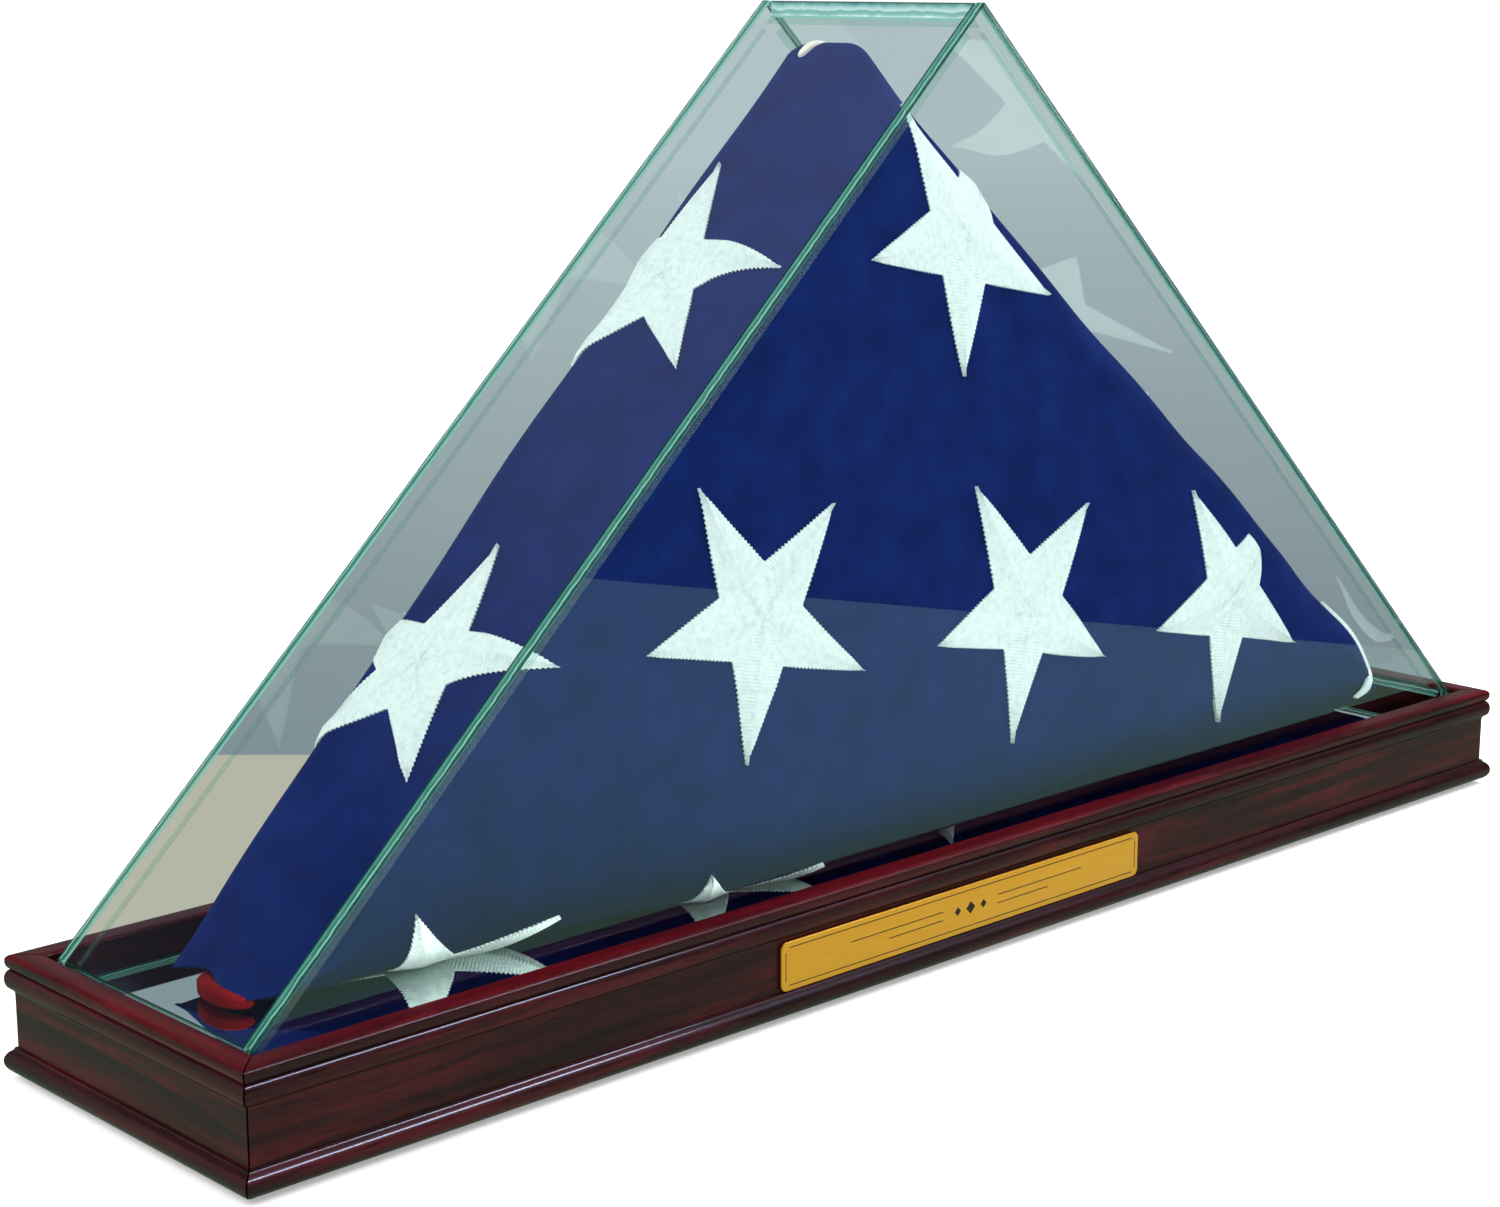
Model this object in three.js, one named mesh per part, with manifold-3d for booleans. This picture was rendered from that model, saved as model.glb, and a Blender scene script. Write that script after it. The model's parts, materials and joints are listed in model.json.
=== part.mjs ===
// A folded flag display case: a moulded hardwood base with a mirror floor, a bonded glass cover
// shaped like the folded flag, and the flag itself. Millimetres, +Z up. The origin is on the surface
// that the case stands on, below the middle of the base. The long side runs along X, the front is -Y.
import * as THREE from "three";
import { mergeVertices } from "three/addons/utils/BufferGeometryUtils.js";
import Module from "manifold-3d";

const wasm = await Module();
wasm.setup();

// ---- Driving dimensions -------------------------------------------------------------------------
// Base, measured over the widest bead of its moulding.
const baseLength = 616;
const baseWidth = 133;
const railThickness = 10.5; // from the widest bead to the inner face
const railBottomZ = 1.6; // the rails hang just clear of the surface
const railTopZ = 40;
const mitreGap = 0.15; // glue line, on each side of a mitre

// Moulding, from the bottom up. Depths are inwards from the widest bead.
const torusHeight = 7.9;
const torusShoulder = 0.5; // radians of its half-round that the quirk above it cuts away
const quirkHeight = 0.5;
const quirkDepth = 2.5;
const friezeDepth = 3.4;
const friezeHeight = 17.2;
const coveHeight = 1.7;
const lowerBeadHeight = 6.3;
const lowerBeadDepth = 1.1;
const beadNotchDepth = 2.6;
const topBeadDepth = 1.4;
const innerEdgeRadius = 1;

// Feet, blocks and strips inside the base.
const footHeight = 4;
const footRadius = 6;
const footBottomRadius = 4.8;
const footSides = 24;
const footInset = 9; // from the two inner faces of a corner to the foot's axis
const blockLeg = 28;
const stripWidth = 10;
const stripHeight = 10;
const stripEndGap = 1;

// Floor board and mirror.
const floorGap = 0.5; // between the board or mirror and the rails
const boardThickness = 6;
const mirrorThickness = 3;
const mirrorTopZ = 30;

// Fasteners.
const bradRadius = 0.6;
const bradHeadRadius = 1.3;
const bradHeadHeight = 0.7;
const bradSides = 10;
const bradIntoRail = 4;
const bradEndInset = 40; // from a corner block to the nearest brad
const holeClearance = 0.3;
const cutPast = 1; // how far a cutting tool stands out of the face that it enters
const cornerNailLeg = 5;
const cornerNailThickness = 0.8;
const cornerNailHeight = 7;
const cornerNailInset = 4.6; // from the widest bead to the nail's bend

// Name plate.
const plateLength = 180;
const plateHeight = 16.6;
const plateThickness = 0.8;
const plateCornerRadius = 2.4;
const tapeThickness = 0.5;
const tapeMargin = 2;
const plateOffsetX = -12.4; // stuck on by hand, a little to the left

// Glass cover.
const glassThickness = 4;
const coverWoodGapX = 2; // glass to rail at the ends
const coverWoodGapY = 3.5; // glass to rail along the sides
const coverApexZ = 322;
const heelHeight = 9; // the triangles' sharp feet are cut off upright
const ridgeGap = 0.15; // bond line, on each side of the ridge
const sealantLeg = 2;
const sealantGap = 0.3;
const ridgeSealantWidth = 4.8;

// Folded flag: a soft triangle that stands on its long side and leans back. It is sized by the room
// that it keeps from the glass.
const flagSeatGap = 0.3;
const flagLeftToeGap = 19.5; // from the glass heel to the left tip
const flagRightToeGap = 9.5;
const flagTopGap = 11; // from the ridge down to where its two short sides would meet
const flagApexX = -4;
const flagFaceGap = 7; // to the front and the back pane, where it is thickest
const flagTipRadius = 9;
const flagApexRadius = 14;
const flagEdgeRadius = 16;
const flagFullShare = 0.32; // the share of its height up to which it is at its thickest
const flagApexThickness = 40;
const flagApexSetback = 15; // how far the apex leans back

// ---- Values worked out from those ---------------------------------------------------------------
const innerHalfX = baseLength / 2 - railThickness;
const innerHalfY = baseWidth / 2 - railThickness;
const mirrorBottomZ = mirrorTopZ - mirrorThickness;
const boardBottomZ = mirrorBottomZ - boardThickness;
const stripBottomZ = boardBottomZ - stripHeight;
const torusTopZ = railBottomZ + torusHeight;
const friezeBottomZ = torusTopZ + quirkHeight;
const friezeTopZ = friezeBottomZ + friezeHeight;
const lowerBeadBottomZ = friezeTopZ + coveHeight;
const lowerBeadTopZ = lowerBeadBottomZ + lowerBeadHeight;

const coverHalfX = innerHalfX - coverWoodGapX;
const coverHalfY = innerHalfY - coverWoodGapY;
const coverBottomZ = mirrorTopZ; // the cover stands on the mirror
const heelTopZ = coverBottomZ + heelHeight;
const roofRun = new THREE.Vector2(-coverHalfX, coverApexZ - heelTopZ);
const roofUp = roofRun.clone().normalize(); // along the right roof pane, towards the ridge
const roofIn = new THREE.Vector2(-roofUp.y, roofUp.x); // out of the right pane, into the case
const innerFaceY = coverHalfY - glassThickness;

// ---- Materials ----------------------------------------------------------------------------------
function paint(color, roughness, metalness = 0) {
  return new THREE.MeshStandardMaterial({ color, roughness, metalness });
}
const cherry = paint(0x3c1014, 0.28);
const pine = paint(0xc9a574, 0.8);
const fibreboard = paint(0x8a6844, 0.85);
const steel = paint(0x9a9a98, 0.35, 1);
const rubber = paint(0x1c1c1c, 0.8);
const mirrorGlass = paint(0xdfe6e4, 0.02, 1);
const brass = paint(0xc9982f, 0.3, 1);
const tape = paint(0xe8e4d8, 0.9);
const clearGlass = new THREE.MeshStandardMaterial({
  color: 0xd4ebe2,
  roughness: 0.02,
  transparent: true,
  opacity: 0.3,
});
const sealant = paint(0xcfe6de, 0.2);
const blueCloth = paint(0x1b2358, 0.9);

// ---- Helpers ------------------------------------------------------------------------------------
const root = new THREE.Group();

function add(name, geometry, material) {
  const mesh = new THREE.Mesh(geometry, material);
  mesh.name = name;
  root.add(mesh);
  return mesh;
}

function boxBetween(x0, y0, z0, x1, y1, z1) {
  const box = new THREE.BoxGeometry(x1 - x0, y1 - y0, z1 - z0);
  return box.translate((x0 + x1) / 2, (y0 + y1) / 2, (z0 + z1) / 2);
}

// A THREE geometry as a manifold-3d solid, and back.
function solidOf(geometry) {
  const bare = new THREE.BufferGeometry();
  bare.setAttribute("position", geometry.getAttribute("position"));
  if (geometry.index) bare.setIndex(geometry.index);
  const merged = mergeVertices(bare, 1e-4);
  const mesh = new wasm.Mesh({
    numProp: 3,
    vertProperties: merged.attributes.position.array,
    triVerts: new Uint32Array(merged.index.array),
  });
  return new wasm.Manifold(mesh);
}

function geometryOf(solid) {
  const mesh = solid.getMesh();
  const geometry = new THREE.BufferGeometry();
  geometry.setAttribute("position", new THREE.BufferAttribute(mesh.vertProperties, 3));
  geometry.setIndex(new THREE.BufferAttribute(mesh.triVerts, 1));
  geometry.computeVertexNormals();
  return geometry;
}

function cut(geometry, tools) {
  return geometryOf(tools.reduce((solid, tool) => solid.subtract(solidOf(tool)), solidOf(geometry)));
}

// The same unindexed geometry, with its faces turned round if they point inwards.
function facingOut(geometry) {
  if (solidOf(geometry).volume() > 0) return geometry;
  const position = geometry.getAttribute("position");
  for (let i = 0; i < position.count; i += 3) {
    const a = new THREE.Vector3().fromBufferAttribute(position, i + 1);
    const b = new THREE.Vector3().fromBufferAttribute(position, i + 2);
    position.setXYZ(i + 1, b.x, b.y, b.z);
    position.setXYZ(i + 2, a.x, a.y, a.z);
  }
  return geometry;
}

// A shape drawn in X and Z, extruded along Y from y0 to y1.
function slabXZ(points, y0, y1) {
  const shape = new THREE.Shape(points.map(([x, z]) => new THREE.Vector2(x, z)));
  const slab = new THREE.ExtrudeGeometry(shape, { depth: y1 - y0, bevelEnabled: false });
  return slab.rotateX(Math.PI / 2).translate(0, y1, 0);
}

// ---- Base rails ---------------------------------------------------------------------------------
// The moulding's section: x is outwards from the inner face, y is height.
function railSection() {
  const at = (depth) => railThickness - depth;
  const torusRadius = torusHeight / 2;
  const lowerBeadMiddle = lowerBeadBottomZ + lowerBeadHeight / 2;
  const topBeadMiddle = (lowerBeadTopZ + railTopZ) / 2;
  const topBeadRadius = (railTopZ - lowerBeadTopZ) / 2;
  const s = new THREE.Shape();
  s.moveTo(0, railBottomZ);
  s.lineTo(at(torusRadius), railBottomZ);
  const torusEnd = Math.PI / 2 - torusShoulder;
  s.absarc(at(torusRadius), railBottomZ + torusRadius, torusRadius, -Math.PI / 2, torusEnd);
  s.lineTo(at(quirkDepth), torusTopZ);
  s.lineTo(at(quirkDepth), friezeBottomZ);
  s.lineTo(at(friezeDepth), friezeBottomZ);
  s.lineTo(at(friezeDepth), friezeTopZ);
  s.quadraticCurveTo(at(friezeDepth), lowerBeadBottomZ, at(beadNotchDepth), lowerBeadBottomZ);
  s.quadraticCurveTo(at(lowerBeadDepth), lowerBeadBottomZ, at(lowerBeadDepth), lowerBeadMiddle);
  s.quadraticCurveTo(at(lowerBeadDepth), lowerBeadTopZ, at(beadNotchDepth), lowerBeadTopZ);
  s.quadraticCurveTo(at(topBeadDepth), lowerBeadTopZ, at(topBeadDepth), topBeadMiddle);
  s.quadraticCurveTo(at(topBeadDepth), railTopZ, at(topBeadDepth + topBeadRadius), railTopZ);
  s.lineTo(innerEdgeRadius, railTopZ);
  s.quadraticCurveTo(0, railTopZ, 0, railTopZ - innerEdgeRadius);
  return s;
}

// A rail along X in front of the base, with its ends cut to a mitre.
function railAlongX(length, width) {
  const rail = new THREE.ExtrudeGeometry(railSection(), {
    depth: 1,
    bevelEnabled: false,
    curveSegments: 7,
  });
  const position = rail.getAttribute("position");
  for (let i = 0; i < position.count; i++) {
    const outwards = position.getX(i);
    const height = position.getY(i);
    const end = position.getZ(i) > 0.5 ? 1 : -1;
    const inset = railThickness - outwards;
    position.setXYZ(i, end * (length / 2 - inset - mitreGap), inset - width / 2, height);
  }
  return facingOut(rail);
}

// Brads: where the head's outer face is, and the way each was driven.
const bradDepthInStrip = stripWidth + bradIntoRail;
const bradZ = stripBottomZ + stripHeight / 2;
const bradRunX = innerHalfX - blockLeg - bradEndInset;
const stripFaceX = innerHalfX - stripWidth;
const stripFaceY = innerHalfY - stripWidth;
const bradPlaces = [
  { name: "brad_left", side: "left", x: -stripFaceX, y: 0, turn: Math.PI },
  { name: "brad_right", side: "right", x: stripFaceX, y: 0, turn: 0 },
];
for (const step of [-1, 0, 1]) {
  const x = step * bradRunX;
  const place = `${step + 2}`;
  bradPlaces.push({ name: `brad_front_${place}`, side: "front", x, y: -stripFaceY, turn: -Math.PI / 2 });
  bradPlaces.push({ name: `brad_back_${place}`, side: "back", x, y: stripFaceY, turn: Math.PI / 2 });
}

// A round bar along the way a brad is driven.
function driven(profile, place) {
  const bar = new THREE.LatheGeometry(profile.map(([r, h]) => new THREE.Vector2(r, h)), bradSides);
  return bar.rotateZ(-Math.PI / 2).rotateZ(place.turn).translate(place.x, place.y, bradZ);
}

function bradHole(place) {
  const r = bradRadius + holeClearance;
  const head = bradHeadRadius + holeClearance;
  const sink = bradHeadHeight + holeClearance;
  const tip = bradDepthInStrip + holeClearance;
  return driven(
    [
      [0, -cutPast],
      [head, -cutPast],
      [head, sink],
      [r, sink],
      [r, tip],
      [0, tip],
    ],
    place,
  );
}

function brad(place) {
  const tipLength = 2 * bradRadius;
  return driven(
    [
      [0, 0],
      [bradHeadRadius, 0],
      [bradHeadRadius, bradHeadHeight],
      [bradRadius, bradHeadHeight],
      [bradRadius, bradDepthInStrip - tipLength],
      [0, bradDepthInStrip],
    ],
    place,
  );
}

// Corner nails: an L of steel strip pressed up into each mitre from below.
const corners = [
  ["front_left", -1, -1],
  ["front_right", 1, -1],
  ["back_left", -1, 1],
  ["back_right", 1, 1],
];

function cornerNail(signX, signY, grow) {
  const x = signX * (baseLength / 2 - cornerNailInset);
  const y = signY * (baseWidth / 2 - cornerNailInset);
  const half = cornerNailThickness / 2 + grow;
  const reach = cornerNailLeg + grow;
  const low = railBottomZ - (grow > 0 ? cutPast : 0);
  const high = railBottomZ + cornerNailHeight + grow;
  const span = (from, to) => [Math.min(from, to), Math.max(from, to)];
  const [ax0, ax1] = span(x + signX * half, x - signX * reach);
  const [by0, by1] = span(y + signY * half, y - signY * reach);
  const alongX = boxBetween(ax0, y - half, low, ax1, y + half, high);
  const alongY = boxBetween(x - half, by0, low, x + half, by1, high);
  return geometryOf(solidOf(alongX).add(solidOf(alongY)));
}

const nailSlots = corners.map(([, signX, signY]) => cornerNail(signX, signY, holeClearance));
const rails = {
  front: railAlongX(baseLength, baseWidth),
  back: railAlongX(baseLength, baseWidth).rotateZ(Math.PI),
  left: railAlongX(baseWidth, baseLength).rotateZ(-Math.PI / 2),
  right: railAlongX(baseWidth, baseLength).rotateZ(Math.PI / 2),
};
for (const [side, rail] of Object.entries(rails)) {
  const holes = bradPlaces.filter((place) => place.side === side).map(bradHole);
  add(`base_rail_${side}`, cut(rail, [...nailSlots, ...holes]), cherry);
}
for (const [corner, signX, signY] of corners) {
  add(`corner_nail_${corner}`, cornerNail(signX, signY, 0), steel);
}

// ---- Inside the base ----------------------------------------------------------------------------
// Strips that carry the floor board, glued and pinned to the rails.
const stripHalfX = innerHalfX - blockLeg - stripEndGap;
const stripHalfY = innerHalfY - blockLeg - stripEndGap;
function strip(x0, y0, x1, y1) {
  return boxBetween(x0, y0, stripBottomZ, x1, y1, boardBottomZ);
}
const strips = {
  front: strip(-stripHalfX, -innerHalfY, stripHalfX, -stripFaceY),
  back: strip(-stripHalfX, stripFaceY, stripHalfX, innerHalfY),
  left: strip(-innerHalfX, -stripHalfY, -stripFaceX, stripHalfY),
  right: strip(stripFaceX, -stripHalfY, innerHalfX, stripHalfY),
};
for (const [side, bar] of Object.entries(strips)) {
  const holes = bradPlaces.filter((place) => place.side === side).map(bradHole);
  add(`support_strip_${side}`, cut(bar, holes), pine);
}
for (const place of bradPlaces) add(place.name, brad(place), steel);

// Three-cornered glue blocks, with a rubber foot under each.
function cornerBlock(signX, signY) {
  const shape = new THREE.Shape();
  shape.moveTo(0, 0);
  shape.lineTo(blockLeg, 0);
  shape.lineTo(0, blockLeg);
  const block = new THREE.ExtrudeGeometry(shape, { depth: boardBottomZ - footHeight, bevelEnabled: false });
  const quarter = signX < 0 ? (signY < 0 ? 0 : -Math.PI / 2) : signY < 0 ? Math.PI / 2 : Math.PI;
  return block.rotateZ(quarter).translate(signX * innerHalfX, signY * innerHalfY, footHeight);
}

function rubberFoot(signX, signY) {
  const profile = [
    [0, 0],
    [footBottomRadius, 0],
    [footRadius, footHeight],
    [0, footHeight],
  ];
  const foot = new THREE.LatheGeometry(profile.map(([r, h]) => new THREE.Vector2(r, h)), footSides);
  return foot
    .rotateX(Math.PI / 2)
    .translate(signX * (innerHalfX - footInset), signY * (innerHalfY - footInset), 0);
}

for (const [corner, signX, signY] of corners) {
  add(`corner_block_${corner}`, cornerBlock(signX, signY), pine);
  add(`rubber_foot_${corner}`, rubberFoot(signX, signY), rubber);
}

const floorHalfX = innerHalfX - floorGap;
const floorHalfY = innerHalfY - floorGap;
add(
  "floor_board",
  boxBetween(-floorHalfX, -floorHalfY, boardBottomZ, floorHalfX, floorHalfY, mirrorBottomZ),
  fibreboard,
);
add(
  "mirror_floor",
  boxBetween(-floorHalfX, -floorHalfY, mirrorBottomZ, floorHalfX, floorHalfY, mirrorTopZ),
  mirrorGlass,
);

// ---- Name plate ---------------------------------------------------------------------------------
function roundedSlab(length, height, radius, yBack, thickness) {
  const [x, z] = [length / 2, height / 2];
  const s = new THREE.Shape();
  s.moveTo(-x + radius, -z);
  s.lineTo(x - radius, -z);
  s.absarc(x - radius, -z + radius, radius, -Math.PI / 2, 0);
  s.lineTo(x, z - radius);
  s.absarc(x - radius, z - radius, radius, 0, Math.PI / 2);
  s.lineTo(-x + radius, z);
  s.absarc(-x + radius, z - radius, radius, Math.PI / 2, Math.PI);
  s.lineTo(-x, -z + radius);
  s.absarc(-x + radius, -z + radius, radius, Math.PI, 1.5 * Math.PI);
  const slab = new THREE.ExtrudeGeometry(s, { depth: thickness, bevelEnabled: false, curveSegments: 6 });
  return slab.rotateX(Math.PI / 2).translate(plateOffsetX, yBack, (friezeBottomZ + friezeTopZ) / 2);
}

const friezeY = -(baseWidth / 2 - friezeDepth);
add(
  "name_plate_tape",
  boxBetween(
    plateOffsetX - plateLength / 2 + tapeMargin,
    friezeY - tapeThickness,
    (friezeBottomZ + friezeTopZ - plateHeight) / 2 + tapeMargin,
    plateOffsetX + plateLength / 2 - tapeMargin,
    friezeY,
    (friezeBottomZ + friezeTopZ + plateHeight) / 2 - tapeMargin,
  ),
  tape,
);
add(
  "name_plate",
  roundedSlab(plateLength, plateHeight, plateCornerRadius, friezeY - tapeThickness, plateThickness),
  brass,
);

// ---- Glass cover --------------------------------------------------------------------------------
const gable = [
  [-coverHalfX, coverBottomZ],
  [coverHalfX, coverBottomZ],
  [coverHalfX, heelTopZ],
  [0, coverApexZ],
  [-coverHalfX, heelTopZ],
];
add("glass_front", slabXZ(gable, -coverHalfY, -innerFaceY), clearGlass);
add("glass_back", slabXZ(gable, innerFaceY, coverHalfY), clearGlass);

// A point in X and Z: so far up the right roof pane from its heel, and so far into the case.
function roofPoint(up, into, mirror = 1) {
  const x = coverHalfX + roofUp.x * up + roofIn.x * into;
  const z = heelTopZ + roofUp.y * up + roofIn.y * into;
  return [mirror * x, z];
}

// How far up the pane the upright cut at the ridge lies, at a depth into the case.
function ridgeCut(into, gap) {
  return (gap - coverHalfX - roofIn.x * into) / roofUp.x;
}

function roofPane(mirror) {
  const outline = [
    roofPoint(0, 0, mirror),
    roofPoint(ridgeCut(0, ridgeGap), 0, mirror),
    roofPoint(ridgeCut(glassThickness, ridgeGap), glassThickness, mirror),
    roofPoint(0, glassThickness, mirror),
  ];
  return slabXZ(mirror > 0 ? outline : outline.reverse(), -innerFaceY, innerFaceY);
}
add("glass_left", roofPane(-1), clearGlass);
add("glass_right", roofPane(1), clearGlass);

// A three-cornered bead of sealant in the corner between a gable and a roof pane.
function cornerSealant(mirror, side) {
  const near = glassThickness + sealantGap;
  const far = near + sealantLeg;
  const points = [];
  for (const up of [sealantLeg, ridgeCut(far, ridgeSealantWidth / 2 + sealantGap)]) {
    const [xNear, zNear] = roofPoint(up, near, mirror);
    const [xFar, zFar] = roofPoint(up, far, mirror);
    points.push([xNear, side * innerFaceY, zNear]);
    points.push([xFar, side * innerFaceY, zFar]);
    points.push([xNear, side * (innerFaceY - sealantLeg), zNear]);
  }
  const faces = [0, 2, 1, 3, 4, 5, 0, 1, 4, 0, 4, 3, 1, 2, 5, 1, 5, 4, 2, 0, 3, 2, 3, 5];
  const bead = new THREE.BufferGeometry();
  bead.setAttribute("position", new THREE.Float32BufferAttribute(points.flat(), 3));
  bead.setIndex(faces);
  return facingOut(bead.toNonIndexed());
}
for (const [corner, signX, signY] of corners) {
  add(`sealant_${corner}`, cornerSealant(signX, signY), sealant);
}

// The bead of sealant under the ridge.
const ridgeBeadTop = glassThickness + sealantGap;
const ridgeBeadCut = ridgeCut(ridgeBeadTop, ridgeSealantWidth / 2);
add(
  "sealant_ridge",
  slabXZ(
    [
      roofPoint(ridgeCut(ridgeBeadTop, 0), ridgeBeadTop),
      roofPoint(ridgeBeadCut, ridgeBeadTop, -1),
      roofPoint(ridgeBeadCut, ridgeBeadTop, 1),
    ],
    -innerFaceY,
    innerFaceY,
  ),
  sealant,
);

// ---- Folded flag --------------------------------------------------------------------------------
// Its outline seen from the front, drawn in by an inset all round, as points in X and Z.
function flagOutline(inset) {
  const arcSteps = 6;
  const bottomZ = mirrorTopZ + flagSeatGap;
  const corners = [
    new THREE.Vector2(flagLeftToeGap + glassThickness - coverHalfX, bottomZ),
    new THREE.Vector2(coverHalfX - glassThickness - flagRightToeGap, bottomZ),
    new THREE.Vector2(flagApexX, coverApexZ - flagTopGap),
  ];
  const radii = [flagTipRadius, flagTipRadius, flagApexRadius];
  return corners.flatMap((corner, i) => {
    const fromLast = corner.clone().sub(corners[(i + 2) % 3]).normalize();
    const toNext = corners[(i + 1) % 3].clone().sub(corner).normalize();
    const turn = Math.acos(fromLast.dot(toNext));
    const radius = Math.max(radii[i] - inset, 1);
    const inwards = toNext.clone().sub(fromLast).normalize();
    const centre = inwards.multiplyScalar((radius + inset) / Math.cos(turn / 2)).add(corner);
    const start = Math.atan2(-fromLast.x, fromLast.y);
    return Array.from({ length: arcSteps + 1 }, (_, step) => {
      const angle = start + (turn * step) / arcSteps;
      return [centre.x + radius * Math.cos(angle), centre.y + radius * Math.sin(angle)];
    });
  });
}

// Where a point of the bundle lies in depth: it thins towards the apex and leans back.
function flagDepth(across, z) {
  const height = (z - mirrorTopZ) / (coverApexZ - flagTopGap - mirrorTopZ);
  const taper = THREE.MathUtils.clamp((height - flagFullShare) / (1 - flagFullShare), 0, 1);
  const half = THREE.MathUtils.lerp(innerFaceY - flagFaceGap, flagApexThickness / 2, taper);
  return flagApexSetback * taper + across * half;
}

function foldedFlag() {
  const ringsEachSide = 5;
  const rings = [];
  for (let i = -ringsEachSide; i <= ringsEachSide; i++) {
    const angle = (i / ringsEachSide) * (Math.PI / 2);
    const outline = flagOutline(flagEdgeRadius * (1 - Math.cos(angle)));
    rings.push(outline.map(([x, z]) => [x, flagDepth(Math.sin(angle), z), z]));
  }
  const count = rings[0].length;
  const faces = [];
  for (let ring = 0; ring < rings.length - 1; ring++) {
    for (let i = 0; i < count; i++) {
      const a = ring * count + i;
      const b = ring * count + ((i + 1) % count);
      faces.push(a, b, a + count, b, b + count, a + count);
    }
  }
  const last = (rings.length - 1) * count;
  for (let i = 1; i < count - 1; i++) {
    faces.push(0, i + 1, i);
    faces.push(last, last + i, last + i + 1);
  }
  const bundle = new THREE.BufferGeometry();
  bundle.setAttribute("position", new THREE.Float32BufferAttribute(rings.flat(2), 3));
  bundle.setIndex(faces);
  return facingOut(bundle.toNonIndexed());
}

add("folded_flag", foldedFlag(), blueCloth);

export default root;
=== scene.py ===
"""A folded flag display case: moulded cherry base, mirror floor, glass cover and the folded flag in it.

Lengths named *_MM are millimetres; everything in the scene is in metres. X runs along the case, the
front faces -Y and Z is up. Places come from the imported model's own boxes.
"""

import json
import math

import bmesh
import bpy
import numpy as np
from mathutils import Matrix, Vector


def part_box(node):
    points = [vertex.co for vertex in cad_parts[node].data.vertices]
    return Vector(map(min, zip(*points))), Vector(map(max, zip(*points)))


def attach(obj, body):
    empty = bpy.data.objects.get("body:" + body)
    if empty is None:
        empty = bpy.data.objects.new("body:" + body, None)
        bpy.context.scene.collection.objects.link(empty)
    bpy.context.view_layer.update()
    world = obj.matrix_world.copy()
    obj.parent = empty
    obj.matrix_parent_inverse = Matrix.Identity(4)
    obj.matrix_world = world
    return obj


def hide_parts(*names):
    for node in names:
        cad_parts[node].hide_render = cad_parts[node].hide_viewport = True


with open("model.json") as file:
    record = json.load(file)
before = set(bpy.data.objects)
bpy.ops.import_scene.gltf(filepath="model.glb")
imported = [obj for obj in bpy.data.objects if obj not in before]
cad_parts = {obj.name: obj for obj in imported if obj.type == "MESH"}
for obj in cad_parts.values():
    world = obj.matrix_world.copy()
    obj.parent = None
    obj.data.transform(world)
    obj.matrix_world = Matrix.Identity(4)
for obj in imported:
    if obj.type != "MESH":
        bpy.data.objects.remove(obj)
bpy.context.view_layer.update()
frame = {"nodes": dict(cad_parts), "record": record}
MM = 0.001

# ---- Sizes ---------------------------------------------------------------------------------------
HEEL_MM = 9.0  # upright foot of each glass triangle
BOND_GAP_MM = 0.12  # glue line between two panes
ARRIS_MM = 0.45  # ground edge of a pane
MITRE_GAP_MM = 0.3

# ---- The camera ----------------------------------------------------------------------------------
CAMERA_PLACE = Vector((-0.70588, -0.68857, 0.33178))
CAMERA_AZIMUTH = math.radians(-43.36)
CAMERA_DROP = math.radians(12.52)


def make_camera():
    data = bpy.data.cameras.new("camera")
    data.sensor_width = 36
    data.lens = 68.33
    data.clip_start = 0.05
    camera = bpy.data.objects.new("camera", data)
    bpy.context.scene.collection.objects.link(camera)
    back = Vector(
        (
            math.sin(CAMERA_AZIMUTH) * math.cos(CAMERA_DROP),
            -math.cos(CAMERA_AZIMUTH) * math.cos(CAMERA_DROP),
            math.sin(CAMERA_DROP),
        )
    )
    camera.location = CAMERA_PLACE
    camera.rotation_mode = "QUATERNION"
    camera.rotation_quaternion = (-back).to_track_quat("-Z", "Y")
    bpy.context.scene.camera = camera


# ---- Material helpers ----------------------------------------------------------------------------
def srgb(hex_colour, alpha=1.0):
    """An sRGB hex colour as the linear colour that a socket takes."""
    channels = [int(hex_colour[i : i + 2], 16) / 255 for i in (1, 3, 5)]
    linear = [c / 12.92 if c <= 0.04045 else ((c + 0.055) / 1.055) ** 2.4 for c in channels]
    return (*linear, alpha)


def new_material(name):
    """A node material with only its output left."""
    material = bpy.data.materials.new(name)
    material.use_nodes = True
    tree = material.node_tree
    for node in list(tree.nodes):
        if node.type != "OUTPUT_MATERIAL":
            tree.nodes.remove(node)
    return material, tree, tree.nodes["Material Output"]


def add(tree, kind, links=None, values=None, **settings):
    """One node: its settings, its sockets' values, and what each socket is linked from."""
    node = tree.nodes.new(kind)
    for key, value in settings.items():
        setattr(node, key, value)
    for key, value in (values or {}).items():
        node.inputs[key].default_value = value
    for key, source in (links or {}).items():
        tree.links.new(source, node.inputs[key])
    return node


def ramp(tree, factor, stops):
    """A colour ramp through (place, colour) stops."""
    node = add(tree, "ShaderNodeValToRGB", {"Fac": factor})
    elements = node.color_ramp.elements
    while len(elements) > len(stops):
        elements.remove(elements[-1])
    while len(elements) < len(stops):
        elements.new(1.0)
    for element, (place, colour) in zip(elements, stops):
        element.position = place
        element.color = colour
    return node.outputs["Color"]


def placed(tree, scale, turn=(0, 0, 0)):
    """Object coordinates, turned and scaled."""
    source = add(tree, "ShaderNodeTexCoord").outputs["Object"]
    return add(
        tree, "ShaderNodeMapping", {"Vector": source}, {"Scale": scale, "Rotation": turn}
    ).outputs["Vector"]


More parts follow.
